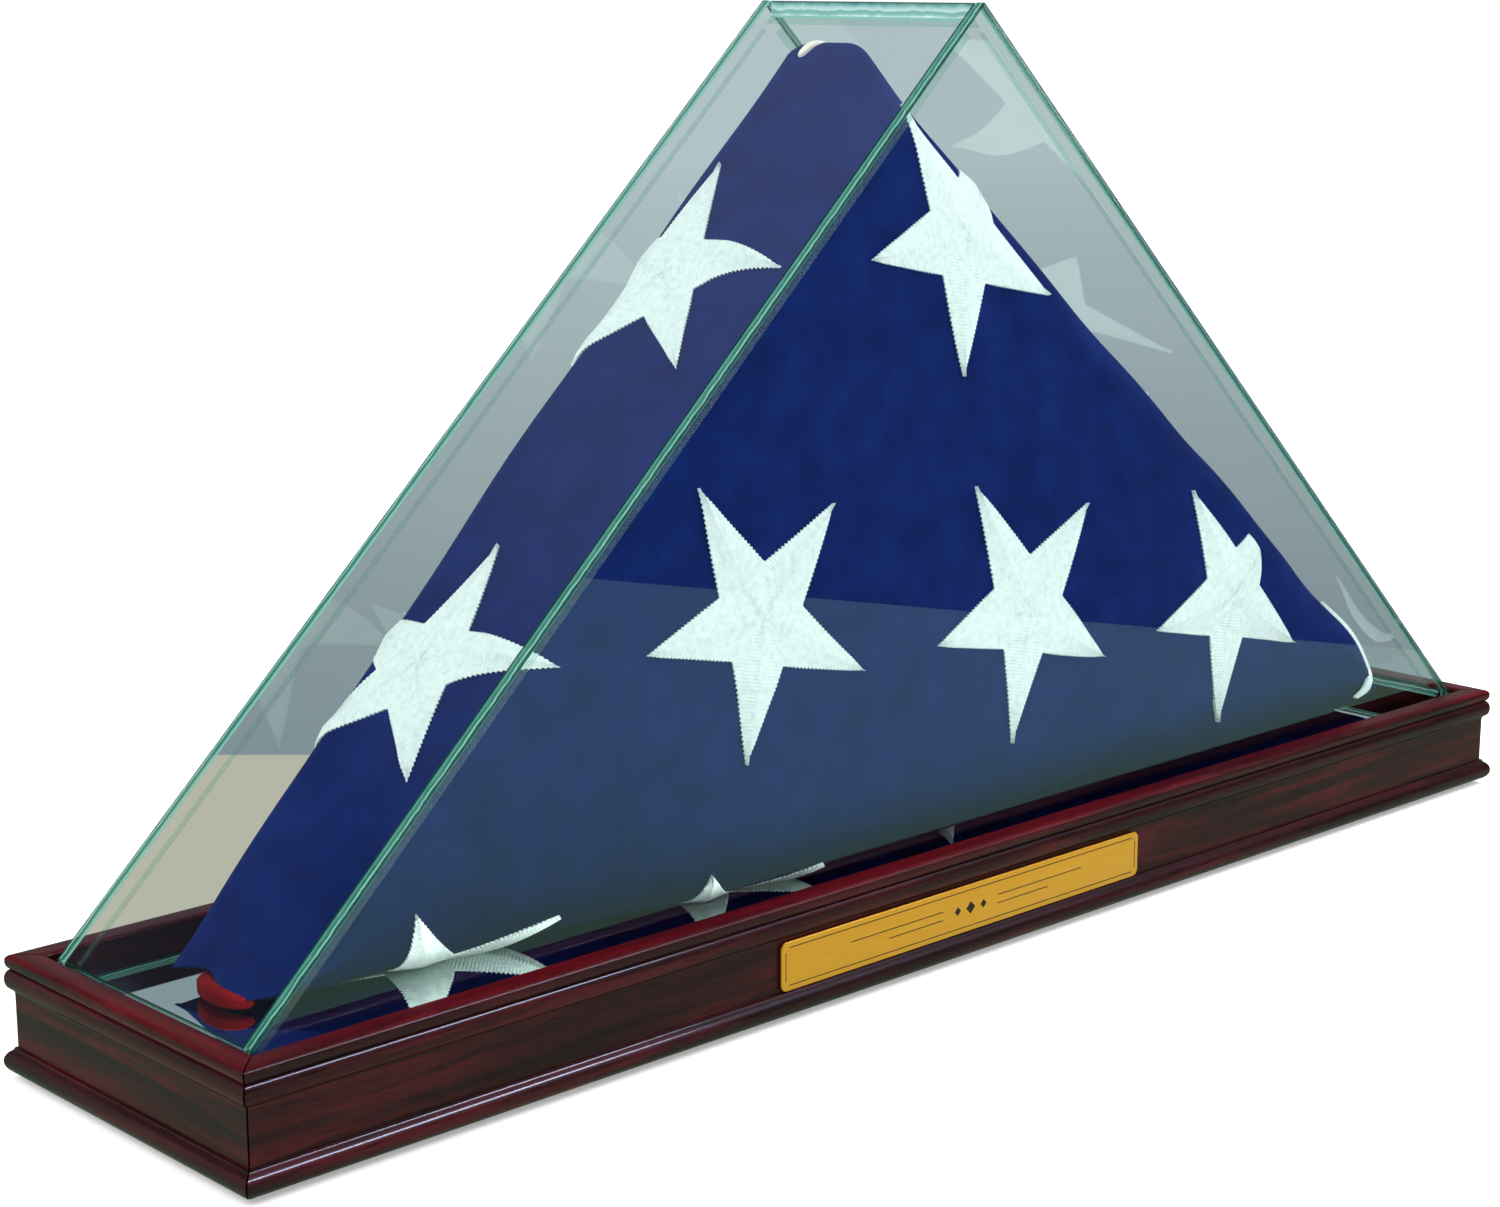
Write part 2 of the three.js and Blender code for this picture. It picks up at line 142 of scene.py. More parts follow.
# ---- Materials -----------------------------------------------------------------------------------
def stained_cherry(name, along, dark, body, flame, lacquer):
    """Cherry, stained dark red-brown and sprayed with satin lacquer. The stain pools in the pores and
    earlywood, so the eye sees fine dark streaks along the rail and slow red patches under a clear coat."""
    streak_mm, board_mm = 2.2, 26.0  # width of a grain streak, width of a colour patch
    stretch = 22.0  # a streak is this much longer than wide
    material, tree, output = new_material(name)

    def grain(width_mm):
        across = 1 / (width_mm * MM)
        scale = [across] * 3
        scale[along] = across / stretch
        return placed(tree, scale)

    fine = add(tree, "ShaderNodeTexNoise", {"Vector": grain(streak_mm)}, {"Detail": 6, "Roughness": 0.6})
    broad = add(tree, "ShaderNodeTexNoise", {"Vector": grain(board_mm)}, {"Detail": 3, "Distortion": 0.8})
    pores = add(tree, "ShaderNodeTexNoise", {"Vector": grain(0.7)}, {"Detail": 2})
    stain = ramp(
        tree,
        broad.outputs["Fac"],
        [(0.3, dark), (0.5, body), (0.66, flame), (0.8, dark)],
    )
    streaks = ramp(
        tree, fine.outputs["Fac"], [(0.32, srgb("#8a7f7c")), (0.5, srgb("#ffffff")), (0.75, srgb("#ffd9d2"))]
    )
    colour = add(
        tree,
        "ShaderNodeMix",
        {6: stain, 7: streaks},
        {0: 0.85},
        data_type="RGBA",
        blend_type="MULTIPLY",
    )
    bump = add(
        tree,
        "ShaderNodeBump",
        {"Height": pores.outputs["Fac"]},
        {"Strength": 0.12, "Distance": 0.0002},
    )
    roughness = add(
        tree,
        "ShaderNodeMapRange",
        {"Value": fine.outputs["Fac"]},
        {"From Min": 0.3, "From Max": 0.7, "To Min": 0.34, "To Max": 0.46},
    )
    shader = add(
        tree,
        "ShaderNodeBsdfPrincipled",
        {"Base Color": colour.outputs[2], "Roughness": roughness.outputs["Result"], "Normal": bump.outputs["Normal"]},
        {"IOR": 1.5, "Specular IOR Level": 0.1, "Coat Weight": lacquer, "Coat Roughness": 0.08, "Coat IOR": 1.5},
    )
    tree.links.new(shader.outputs["BSDF"], output.inputs["Surface"])
    return material


def float_glass():
    """Clear soda-lime float glass, 4 mm thick. It is colourless face on, smooth as water, and mirrors more
    the flatter it is looked at. One Fresnel stands for both faces of a pane, so its IOR is above glass's."""
    pane_ior = 1.72
    material, tree, output = new_material("float_glass")
    fresnel = add(tree, "ShaderNodeFresnel", values={"IOR": pane_ior})
    behind = add(tree, "ShaderNodeNewGeometry").outputs["Backfacing"]
    entering = add(tree, "ShaderNodeMath", {1: behind}, {0: 1.0}, operation="SUBTRACT")
    share = add(
        tree,
        "ShaderNodeMath",
        {0: fresnel.outputs["Fac"], 1: entering.outputs[0]},
        operation="MULTIPLY",
    )
    clear = add(tree, "ShaderNodeBsdfTransparent", values={"Color": srgb("#fdfffe")})
    gloss = add(tree, "ShaderNodeBsdfGlossy", values={"Color": (1, 1, 1, 1), "Roughness": 0.0})
    pane = add(
        tree, "ShaderNodeMixShader", {0: share.outputs[0], 1: clear.outputs[0], 2: gloss.outputs[0]}
    )
    tree.links.new(pane.outputs[0], output.inputs["Surface"])
    return material


def glass_edge(name, green_tint_and_painted_light_bands, roughness, clearness):
    """The ground and polished edge of float glass. Iron in the glass gathers there as a sea green. The fine pale and
    dark lines across the thickness are painted light and painted glints, standing for light piped along the pane, and
    a faint emission makes the edge glow."""
    material, tree, output = new_material(name)
    uv = add(tree, "ShaderNodeUVMap", uv_map="depth").outputs["UV"]
    across = add(tree, "ShaderNodeSeparateXYZ", {"Vector": uv}).outputs["X"]
    wobble = add(tree, "ShaderNodeTexNoise", {"Vector": placed(tree, (35, 35, 35))}, {"Detail": 6})
    shifted = add(
        tree,
        "ShaderNodeMath",
        {0: wobble.outputs["Fac"], 2: across},
        {1: 0.45},
        operation="MULTIPLY_ADD",
    )
    centred = add(tree, "ShaderNodeMath", {0: shifted.outputs[0]}, {1: 0.225}, operation="SUBTRACT")
    colour = ramp(tree, centred.outputs[0], [(place, srgb(hex_colour)) for place, hex_colour in green_tint_and_painted_light_bands])
    # the edge's colour also glows faintly as emission: a painted glow, though the edge is no lamp
    body = add(
        tree,
        "ShaderNodeBsdfPrincipled",
        {"Base Color": colour, "Emission Color": colour},
        {"Roughness": roughness, "IOR": 1.5, "Emission Strength": 0.08},
    )
    clear = add(tree, "ShaderNodeBsdfTransparent", values={"Color": srgb("#d3e8df")})
    edge = add(
        tree, "ShaderNodeMixShader", {1: body.outputs[0], 2: clear.outputs[0]}, {0: clearness}
    )
    tree.links.new(edge.outputs[0], output.inputs["Surface"])
    return material


def clear_sealant():
    """Clear cured silicone, tooled smooth in the corners. It shows as a pale, glossy, slightly uneven line."""
    material, tree, output = new_material("clear_sealant")
    ripple = add(tree, "ShaderNodeTexNoise", {"Vector": placed(tree, (120, 120, 120))}, {"Detail": 2})
    bump = add(
        tree, "ShaderNodeBump", {"Height": ripple.outputs["Fac"]}, {"Strength": 0.15, "Distance": 0.0003}
    )
    colour = ramp(tree, ripple.outputs["Fac"], [(0.35, srgb("#8fb5ab")), (0.65, srgb("#cfe4df"))])
    body = add(
        tree,
        "ShaderNodeBsdfPrincipled",
        {"Base Color": colour, "Normal": bump.outputs["Normal"]},
        {"Roughness": 0.15, "IOR": 1.41},
    )
    clear = add(tree, "ShaderNodeBsdfTransparent", values={"Color": srgb("#eef7f4")})
    bead = add(tree, "ShaderNodeMixShader", {1: body.outputs[0], 2: clear.outputs[0]}, {0: 0.94})
    tree.links.new(bead.outputs[0], output.inputs["Surface"])
    return material


def silvered_mirror():
    """Silvered float glass: a cold, almost perfect mirror with a trace of green."""
    material, tree, output = new_material("silvered_mirror")
    haze = add(tree, "ShaderNodeTexNoise", {"Vector": placed(tree, (30, 30, 30))}, {"Detail": 3})
    colour = ramp(tree, haze.outputs["Fac"], [(0.3, srgb("#d5e0de")), (0.7, srgb("#dde6e4"))])
    shader = add(
        tree,
        "ShaderNodeBsdfPrincipled",
        {"Base Color": colour},
        {"Metallic": 1.0, "Roughness": 0.015},
    )
    tree.links.new(shader.outputs["BSDF"], output.inputs["Surface"])
    return material


def woven_cloth(name, deep, plain, light, sheen):
    """Plain-woven cotton bunting. It is matte, with a soft bloom where it turns away, and the dye takes
    a little unevenly. The real threads are 0.4 mm apart; they are drawn at 1.3 mm so that they show."""
    thread_mm = 1.3
    bias = math.radians(43)  # the folds run across the threads
    material, tree, output = new_material(name)
    split = add(tree, "ShaderNodeSeparateXYZ", {"Vector": placed(tree, (1, 1, 1), (0, bias, 0))})
    waves = []
    for axis in ("X", "Z"):
        turns = add(
            tree,
            "ShaderNodeMath",
            {0: split.outputs[axis]},
            {1: 2 * math.pi / (thread_mm * MM)},
            operation="MULTIPLY",
        )
        waves.append(add(tree, "ShaderNodeMath", {0: turns.outputs[0]}, operation="SINE").outputs[0])
    weave = add(tree, "ShaderNodeMath", {0: waves[0], 1: waves[1]}, operation="MULTIPLY")
    slub = add(tree, "ShaderNodeTexNoise", {"Vector": placed(tree, (60, 60, 900))}, {"Detail": 3})
    dye = add(tree, "ShaderNodeTexNoise", {"Vector": placed(tree, (14, 14, 14))}, {"Detail": 4})
    threads = add(
        tree,
        "ShaderNodeMapRange",
        {"Value": slub.outputs["Fac"]},
        {"From Min": 0.35, "From Max": 0.65, "To Min": 0.9, "To Max": 1.08},
    )
    colour = ramp(
        tree,
        dye.outputs["Fac"],
        [(0.3, srgb(deep)), (0.52, srgb(plain)), (0.75, srgb(light))],
    )
    shaded = add(
        tree, "ShaderNodeVectorMath", {0: colour, 3: threads.outputs["Result"]}, operation="SCALE"
    )
    bump = add(
        tree, "ShaderNodeBump", {"Height": weave.outputs[0]}, {"Strength": 0.06, "Distance": 0.00005}
    )
    shader = add(
        tree,
        "ShaderNodeBsdfPrincipled",
        {"Base Color": shaded.outputs[0], "Normal": bump.outputs["Normal"]},
        {
            "Roughness": 0.9,
            "IOR": 1.45,
            "Specular IOR Level": 0.06,
            "Sheen Weight": 0.06,
            "Sheen Roughness": 0.5,
            "Sheen Tint": srgb(sheen),
        },
    )
    tree.links.new(shader.outputs["BSDF"], output.inputs["Surface"])
    return material


def white_embroidery():
    """White rayon thread laid side by side in satin stitch. Each stitch is a tiny rounded ridge, so the
    star is soft white with a faint ribbing across each arm. Real threads are 0.4 mm; drawn at 1.2 mm."""
    stitch_mm = 1.2
    material, tree, output = new_material("white_embroidery")
    uv = add(tree, "ShaderNodeUVMap", uv_map="cloth").outputs["UV"]
    split = add(tree, "ShaderNodeSeparateXYZ", {"Vector": uv})
    turns = add(
        tree,
        "ShaderNodeMath",
        {0: split.outputs["X"]},
        {1: 2 * math.pi / (stitch_mm * MM)},
        operation="MULTIPLY",
    )
    ribs = add(tree, "ShaderNodeMath", {0: turns.outputs[0]}, operation="SINE")
    shade = add(tree, "ShaderNodeTexNoise", {"Vector": placed(tree, (90, 90, 90))}, {"Detail": 4})
    height = add(
        tree,
        "ShaderNodeMath",
        {0: shade.outputs["Fac"], 2: ribs.outputs[0]},
        {1: 3.0},
        operation="MULTIPLY_ADD",
    )
    colour = ramp(
        tree, shade.outputs["Fac"], [(0.3, srgb("#cfe1dd")), (0.5, srgb("#dbece9")), (0.7, srgb("#e5f2ef"))]
    )
    bump = add(
        tree, "ShaderNodeBump", {"Height": height.outputs[0]}, {"Strength": 0.3, "Distance": 0.0003}
    )
    shader = add(
        tree,
        "ShaderNodeBsdfPrincipled",
        {"Base Color": colour, "Normal": bump.outputs["Normal"]},
        {"Roughness": 0.55, "IOR": 1.5, "Sheen Weight": 0.2, "Sheen Roughness": 0.4},
    )
    tree.links.new(shader.outputs["BSDF"], output.inputs["Surface"])
    return material


def lacquered_brass():
    """Rolled brass sheet, brushed along its length and lacquered: warm gold with a soft lengthwise sheen."""
    material, tree, output = new_material("lacquered_brass")
    brushed = add(
        tree,
        "ShaderNodeTexNoise",
        {"Vector": placed(tree, (14, 2200, 2200))},
        {"Detail": 2},
    )
    colour = ramp(tree, brushed.outputs["Fac"], [(0.3, srgb("#e89d18")), (0.7, srgb("#f0b034"))])
    bump = add(
        tree, "ShaderNodeBump", {"Height": brushed.outputs["Fac"]}, {"Strength": 0.06, "Distance": 0.0001}
    )
    shader = add(
        tree,
        "ShaderNodeBsdfPrincipled",
        {"Base Color": colour, "Normal": bump.outputs["Normal"]},
        {"Metallic": 0.6, "Roughness": 0.42, "Coat Weight": 0.3, "Coat Roughness": 0.2},
    )
    tree.links.new(shader.outputs["BSDF"], output.inputs["Surface"])
    return material


def speckled(name, dark, light, grain_mm, roughness, metallic=0.0, stretch=(1, 1, 1), depth=0.3):
    """A plain workshop material with its grain: sawn pine, fibreboard, moulded rubber, drawn steel or tape."""
    material, tree, output = new_material(name)
    scale = [s / (grain_mm * MM) for s in stretch]
    grain = add(tree, "ShaderNodeTexNoise", {"Vector": placed(tree, scale)}, {"Detail": 5, "Roughness": 0.6})
    colour = ramp(tree, grain.outputs["Fac"], [(0.32, srgb(dark)), (0.68, srgb(light))])
    bump = add(
        tree, "ShaderNodeBump", {"Height": grain.outputs["Fac"]}, {"Strength": depth, "Distance": 0.0002}
    )
    shader = add(
        tree,
        "ShaderNodeBsdfPrincipled",
        {"Base Color": colour, "Normal": bump.outputs["Normal"]},
        {"Roughness": roughness, "Metallic": metallic},
    )
    tree.links.new(shader.outputs["BSDF"], output.inputs["Surface"])
    return material


# ---- Mesh helpers --------------------------------------------------------------------------------
def start_fresh():
    """Nothing selected, so that an operator acts only on what is added next."""
    bpy.ops.object.select_all(action="DESELECT")


def active(name):
    """The object that an operator has just made, named."""
    obj = bpy.context.object
    obj.name = name
    obj.data.name = name
    return obj


def settle(obj):
    """Puts an object's place, turn and scale into its mesh."""
    obj.data.transform(obj.matrix_world)
    obj.matrix_world = Matrix.Identity(4)
    return obj


def only(obj):
    start_fresh()
    obj.select_set(True)
    bpy.context.view_layer.objects.active = obj


def apply_modifier(obj, kind, **settings):
    only(obj)
    modifier = obj.modifiers.new(kind.title(), kind)
    for key, value in settings.items():
        setattr(modifier, key, value)
    bpy.ops.object.modifier_apply(modifier=modifier.name)


def smooth(obj, degrees=30):
    only(obj)
    bpy.ops.object.shade_smooth_by_angle(angle=math.radians(degrees))


def cut_away(obj, point, outwards):
    """Cuts off what lies beyond a plane and closes the cut."""
    only(obj)
    bpy.ops.object.mode_set(mode="EDIT")
    bpy.ops.mesh.select_all(action="SELECT")
    bpy.ops.mesh.bisect(
        plane_co=point,
        plane_no=outwards,
        use_fill=True,
        clear_outer=True,
        threshold=1e-7,
    )
    bpy.ops.object.mode_set(mode="OBJECT")


def tidy(obj):
    """Merges doubles and turns the faces outwards."""
    only(obj)
    bpy.ops.object.mode_set(mode="EDIT")
    bpy.ops.mesh.select_all(action="SELECT")
    bpy.ops.mesh.remove_doubles(threshold=1e-7)
    bpy.ops.mesh.normals_make_consistent(inside=False)
    bpy.ops.object.mode_set(mode="OBJECT")


def block(name, low, high):
    """A cube between two corners."""
    start_fresh()
    bpy.ops.mesh.primitive_cube_add(size=1, location=(low + high) / 2, scale=high - low)
    return settle(active(name))


def set_materials(obj, *materials):
    obj.data.materials.clear()
    for material in materials:
        obj.data.materials.append(material)
    return obj


# ---- The base ------------------------------------------------------------------------------------
def arc(centre, radii, start, end, steps):
    """Points of an elliptical arc, angles in degrees."""
    angles = np.radians(np.linspace(start, end, steps + 1))
    return [(centre[0] + radii[0] * math.cos(a), centre[1] + radii[1] * math.sin(a)) for a in angles]


def moulding(thickness, bottom, top):
    """The rail's section as (in from the widest bead, height) points, in metres, from the inner foot round."""
    torus, quirk, frieze, cove, lower_bead = (v * MM for v in (7.9, 0.5, 17.2, 1.7, 6.3))
    frieze_in, notch_in, lower_in, upper_in = (v * MM for v in (3.4, 2.5, 1.1, 1.4))
    ease = 1.2 * MM
    round_torus = torus / 2
    frieze_low = bottom + torus + quirk
    frieze_high = frieze_low + frieze
    lower_low = frieze_high + cove
    lower_high = lower_low + lower_bead
    lower_mid, lower_half = (lower_low + lower_high) / 2, lower_bead / 2
    upper_mid, upper_half = (lower_high + top) / 2, (top - lower_high) / 2
    points = [(thickness, bottom)]
    points += arc((round_torus, bottom + round_torus), (round_torus, round_torus), 270, 118, 16)
    points += [(2.45 * MM, bottom + torus), (2.5 * MM, frieze_low - 0.1 * MM), (frieze_in, frieze_low)]
    points += [(frieze_in, frieze_high)]
    points += arc((frieze_in - cove * 0.6, frieze_high), (cove * 0.6, cove), 0, 90, 6)[1:]
    points += arc((lower_in + 1.6 * MM, lower_mid), (1.6 * MM, lower_half), 262, 98, 16)
    points += [(notch_in + 0.35 * MM, lower_high)]
    points += arc((upper_in + 1.9 * MM, upper_mid), (1.9 * MM, upper_half), 255, 180, 8)
    points += arc((upper_in + 2.6 * MM, top - 1.7 * MM), (2.6 * MM, 1.7 * MM), 172, 90, 9)
    points += arc((thickness - ease, top - ease), (ease, ease), 90, 0, 6)
    return points


def make_rail(side, wood):
    """One mitred rail: the section, drawn out along the side and cut at 45 degrees at both ends."""
    low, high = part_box(f"base_rail_{side}")
    lengthwise = 0 if side in ("front", "back") else 1
    half_length = (high[lengthwise] - low[lengthwise]) / 2
    thickness = (high - low)[1 - lengthwise]
    half_width = max(abs(low[1 - lengthwise]), abs(high[1 - lengthwise]))
    section = moulding(thickness, low.z, high.z)
    start_fresh()
    bpy.ops.mesh.primitive_circle_add(vertices=len(section), fill_type="NGON")
    rail = active(f"rail_{side}")
    for vertex, (inwards, height) in zip(rail.data.vertices, section):
        vertex.co = (-half_length, inwards - half_width, height)
    only(rail)
    bpy.ops.object.mode_set(mode="EDIT")
    bpy.ops.mesh.select_all(action="SELECT")
    bpy.ops.mesh.extrude_region_move(TRANSFORM_OT_translate={"value": (2 * half_length, 0, 0)})
    bpy.ops.object.mode_set(mode="OBJECT")
    joint = MITRE_GAP_MM * MM * math.sqrt(0.5)
    for end in (-1, 1):
        cut_away(rail, (end * (half_length - joint), -half_width, 0), (end, 1, 0))
    tidy(rail)
    turn = {"front": 0, "left": -90, "right": 90, "back": 180}[side]
    rail.data.transform(Matrix.Rotation(math.radians(turn), 4, "Z"))
    smooth(rail, 28)
    set_materials(rail, *wood[lengthwise])
    for face in rail.data.polygons:  # the lip's upward faces take a lighter, redder copy of the stain: painted light on the top of the rail
        face.material_index = int(face.normal.z > 0.35 and face.center.z > high.z - 3.5 * MM)
    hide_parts(f"base_rail_{side}")
    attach(rail, "base")


def make_name_plate(brass, enamel):
    """A thin brass plate with rounded corners, an engraved border and a plain engraved device."""
    low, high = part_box("name_plate")
    plate = block("name_plate_sheet", low, high)
    corner_mm, edge_mm = 2.4, 0.25
    only(plate)
    bpy.ops.object.mode_set(mode="EDIT")
    bpy.ops.mesh.select_all(action="DESELECT")
    mesh = bmesh.from_edit_mesh(plate.data)
    for edge in mesh.edges:
        a, b = (v.co for v in edge.verts)
        edge.select_set(abs((a - b).normalized().y) > 0.9)
    bpy.ops.mesh.bevel(offset=corner_mm * MM, segments=8, affect="EDGES")
    bpy.ops.object.mode_set(mode="OBJECT")
    apply_modifier(plate, "BEVEL", width=edge_mm * MM, segments=3, limit_method="ANGLE")
    smooth(plate, 40)
    set_materials(plate, brass)
    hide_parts("name_plate")
    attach(plate, "base")

    # Engraving, filled with dark enamel: a border line, two rules and a row of lozenges.
    face = low.y - 0.04 * MM
    middle = (low + high) / 2
    line_mm = 0.3
    strips = []

    def line(x0, z0, x1, z1):
        a = Vector((min(x0, x1) - line_mm * MM / 2, face, min(z0, z1) - line_mm * MM / 2))
        b = Vector((max(x0, x1) + line_mm * MM / 2, low.y + 0.1 * MM, max(z0, z1) + line_mm * MM / 2))
        strips.append(block("stroke", a, b))

    margin = 1.9 * MM
    x0, x1, z0, z1 = low.x + margin, high.x - margin, low.z + margin, high.z - margin
    notch = 1.6 * MM
    for ends in (
        (x0 + notch, z0, x1 - notch, z0),
        (x0 + notch, z1, x1 - notch, z1),
        (x0, z0 + notch, x0, z1 - notch),
        (x1, z0 + notch, x1, z1 - notch),
    ):
        line(*ends)
    for reach, inner in ((58 * MM, 14 * MM), (40 * MM, 14 * MM)):
        height = middle.z + (1.5 * MM if reach > 50 * MM else -1.5 * MM)
        line(middle.x - reach, height, middle.x - inner, height)
        line(middle.x + inner, height, middle.x + reach, height)
    for step in (-1, 0, 1):
        size = (3.2 if step == 0 else 2.2) * MM
        gem = block(
            "lozenge",
            Vector((-size / 2, face, -size / 2)),
            Vector((size / 2, low.y + 0.1 * MM, size / 2)),
        )
        gem.data.transform(Matrix.Rotation(math.radians(45), 4, "Y"))
        gem.data.transform(Matrix.Translation((middle.x + step * 6.5 * MM, 0, middle.z)))
        strips.append(gem)
    start_fresh()
    for strip in strips:
        strip.select_set(True)
    bpy.context.view_layer.objects.active = strips[0]
    bpy.ops.object.join()
    engraving = settle(active("name_plate_engraving"))
    set_materials(engraving, enamel)
    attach(engraving, "base")


# ---- The glass cover -----------------------------------------------------------------------------
def finish_pane(pane, node, is_clear, is_bonded, is_wet, depth, materials):
    """Gives the faces their finish, grinds the arrises and hangs the pane on the cover. The UV map holds
    how deep a point lies in the glass: 0 at the outer face, 1 at the inner one."""
    set_materials(pane, *materials)
    for face in pane.data.polygons:
        face.material_index = 0 if is_clear(face.normal) else (3 if is_bonded(face.normal) else 1)
    apply_modifier(
        pane,
        "BEVEL",
        width=ARRIS_MM * MM,
        segments=2,
        limit_method="ANGLE",
        material=2,
        harden_normals=False,
    )
    for face in pane.data.polygons:  # an arris that sealant wets can't be seen
        if face.material_index == 2 and is_wet(face.center):
            face.material_index = 0
    layer = pane.data.uv_layers.new(name="depth")
    for loop in pane.data.loops:
        point = pane.data.vertices[loop.vertex_index].co
        layer.data[loop.index].uv = (depth(point), point.z)
    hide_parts(node)
    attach(pane, "glass_cover")


def make_cover(materials):
    front_low, front_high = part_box("glass_front")
    half_x = front_high.x
    heel_z = front_low.z + HEEL_MM * MM
    apex_z = front_high.z
    glass = front_high.y - front_low.y
    slope = Vector((-half_x, 0, apex_z - heel_z)).normalized()
    lift = Vector((0, 0, 0.08 * MM))  # a hair above the mirror
    for side in ("front", "back"):
        low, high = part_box(f"glass_{side}")
        pane = block(f"pane_{side}", low + lift, high)
        for sign in (-1, 1):
            outwards = Vector((sign * slope.z, 0, -slope.x))
            cut_away(pane, (sign * half_x, 0, heel_z), outwards)
        tidy(pane)
        finish_pane(
            pane,
            f"glass_{side}",
            lambda normal: abs(normal.y) > 0.9,
            lambda normal: False,
            lambda centre: False,
            lambda point: (abs(front_low.y) - abs(point.y)) / glass,
            materials,
        )
    for side, sign in (("left", -1), ("right", 1)):
        low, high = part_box(f"glass_{side}")
        bond = Vector((0, BOND_GAP_MM * MM, 0))
        half_depth = high.y - BOND_GAP_MM * MM
        pane = block(f"pane_{side}", low + bond, high - bond)
        outwards = Vector((sign * slope.z, 0, -slope.x))
        heel = Vector((sign * half_x, 0, heel_z))
        cut_away(pane, heel, outwards)
        cut_away(pane, heel - outwards * glass, -outwards)
        cut_away(pane, heel, Vector((-sign * slope.x, 0, -slope.z)))
        cut_away(pane, (sign * BOND_GAP_MM * MM, 0, 0), (-sign, 0, 0))
        tidy(pane)
        finish_pane(
            pane,
            f"glass_{side}",
            lambda normal, out=outwards, hide=side == "right": abs(normal.dot(out)) > 0.9
            or normal.y > 0.9
            or (hide and normal.y < -0.9),
            lambda normal, show=side == "left": (show and normal.y < -0.9) or abs(normal.x) > 0.98,
            lambda centre, only_back=side == "left": (
                abs(centre.y) > half_depth - 1.0 * MM and not (only_back and centre.y < 0)
            ),
            lambda point, at=heel, out=outwards: (at - point).dot(out) / glass,
            materials,
        )


# ---- The folded flag -----------------------------------------------------------------------------
# The bundle is a soft triangle. Seen from the front its outline has three sides; each side has its own
# rounding. In depth it lies between a front and a back face that are fullest low in the middle.
FLAG_LOW, FLAG_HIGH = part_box("folded_flag")
SEAT_Z = FLAG_LOW.z + 0.1 * MM
LEFT_TIP = np.array((-0.2735, SEAT_Z))
RIGHT_TIP = np.array((0.297, SEAT_Z))
APEX = np.array((-0.0035, 0.3115))
CORNERS = [LEFT_TIP, RIGHT_TIP, APEX]  # sides: 0 bottom, 1 right, 2 left
CORNER_ROUND = [0.004, 0.008, 0.009]
FRONT_ROUND = [(0.036, 0.030), (0.022, 0.020), (0.028, 0.028)]  # (in the face, in depth) for each side
BACK_ROUND = [(0.026, 0.020), (0.018, 0.018), (0.008, 0.010)]
SIDE_SAG = [0.0, 0.006, 0.0]


def blend_curve(at, knots):
    """A smooth curve through (place, value) knots."""
    places, values = (np.array(k, float) for k in zip(*knots))
    at = np.clip(at, places[0], places[-1])
    i = np.clip(np.searchsorted(places, at) - 1, 0, len(places) - 2)
    t = (at - places[i]) / (places[i + 1] - places[i])
    slopes = np.gradient(values, places)
    span = places[i + 1] - places[i]
    h00, h10 = 2 * t**3 - 3 * t**2 + 1, t**3 - 2 * t**2 + t
    h01, h11 = -2 * t**3 + 3 * t**2, t**3 - t**2
    return h00 * values[i] + h10 * span * slopes[i] + h01 * values[i + 1] + h11 * span * slopes[i + 1]


FRONT_ALONG = [(-0.274, -0.004), (-0.2, -0.025), (-0.1, -0.041), (0.04, -0.044), (0.18, -0.0425), (0.292, -0.032)]
BACK_ALONG = [(-0.274, 0.033), (-0.15, 0.0415), (0.0, 0.042), (0.15, 0.040), (0.292, 0.026)]


def taper(z):
    """0 low in the bundle, 1 at its apex."""
    return np.clip((z - 0.105) / (0.305 - 0.105), 0, 1) ** 1.2


def front_y(x, z):
    return blend_curve(x, FRONT_ALONG) * (1 - taper(z)) - 0.005 * taper(z)


def back_y(x, z):
    return blend_curve(x, BACK_ALONG) * (1 - taper(z)) + 0.036 * taper(z)


# Where the bundle was squeezed or bulges when it was tucked: place, reach and shift.
PUSHES = [
    ((-0.258, 0.030, 0.060), 0.040, (-0.007, 0.002, 0.006)),
    ((-0.252, -0.012, 0.034), 0.022, (-0.008, -0.006, 0.000)),
    ((-0.266, 0.016, 0.033), 0.012, (0.008, 0.000, 0.003)),
    ((0.255, -0.020, 0.055), 0.028, (0.003, 0.000, 0.002)),
    ((0.290, -0.012, 0.031), 0.020, (-0.003, 0.000, 0.005)),
]


def settled(points):
    """The bundle's two lower tips lie flat on the mirror, so their undersides are drawn down to it."""
    x, height = points[:, 0], points[:, 2] - SEAT_Z
    left = np.clip((-0.17 - x) / 0.085, 0, 1)
    right = np.clip((x - 0.20) / 0.08, 0, 1)
    low = points.copy()
    for share, amount, reach in ((left, 0.85, 0.030), (right, 0.6, 0.016)):
        share = amount * share * share * (3 - 2 * share)
        low[:, 2] -= height * share * np.exp(-((height / reach) ** 2))
    for place, reach, shift in PUSHES:
        near = np.exp(-np.sum((points - place) ** 2, axis=1) / reach**2)
        low += np.outer(near, shift)
    low[:, 2] = np.maximum(low[:, 2], SEAT_Z - 0.0001)
    return low


def drift(points):
    """Where the cloth really lies: settled on the mirror, and waving slowly a millimetre or so."""
    points = settled(points)
    x, y, z = points.T * 1000
    along = 0.9 * np.sin(x / 31 + z / 47 + 0.6) * np.sin(z / 26 - x / 83 + y / 40)
    along += 0.5 * np.sin(x / 13.5 - z / 17 + y / 21 + 1.3) * np.sin(z / 41 + 0.4)
    depth = 1.2 * np.sin(x / 43 - z / 37 + 0.2) + 0.7 * np.sin(x / 19 + z / 29 + 2.1)
    moved = np.stack((along * 0.7, depth, along), axis=1) * MM
    moved[:, 2] *= np.clip((points[:, 2] - SEAT_Z) / 0.03, 0, 1)
    moved[:, 2] = np.minimum(moved[:, 2], 0.0012)
    return points + moved


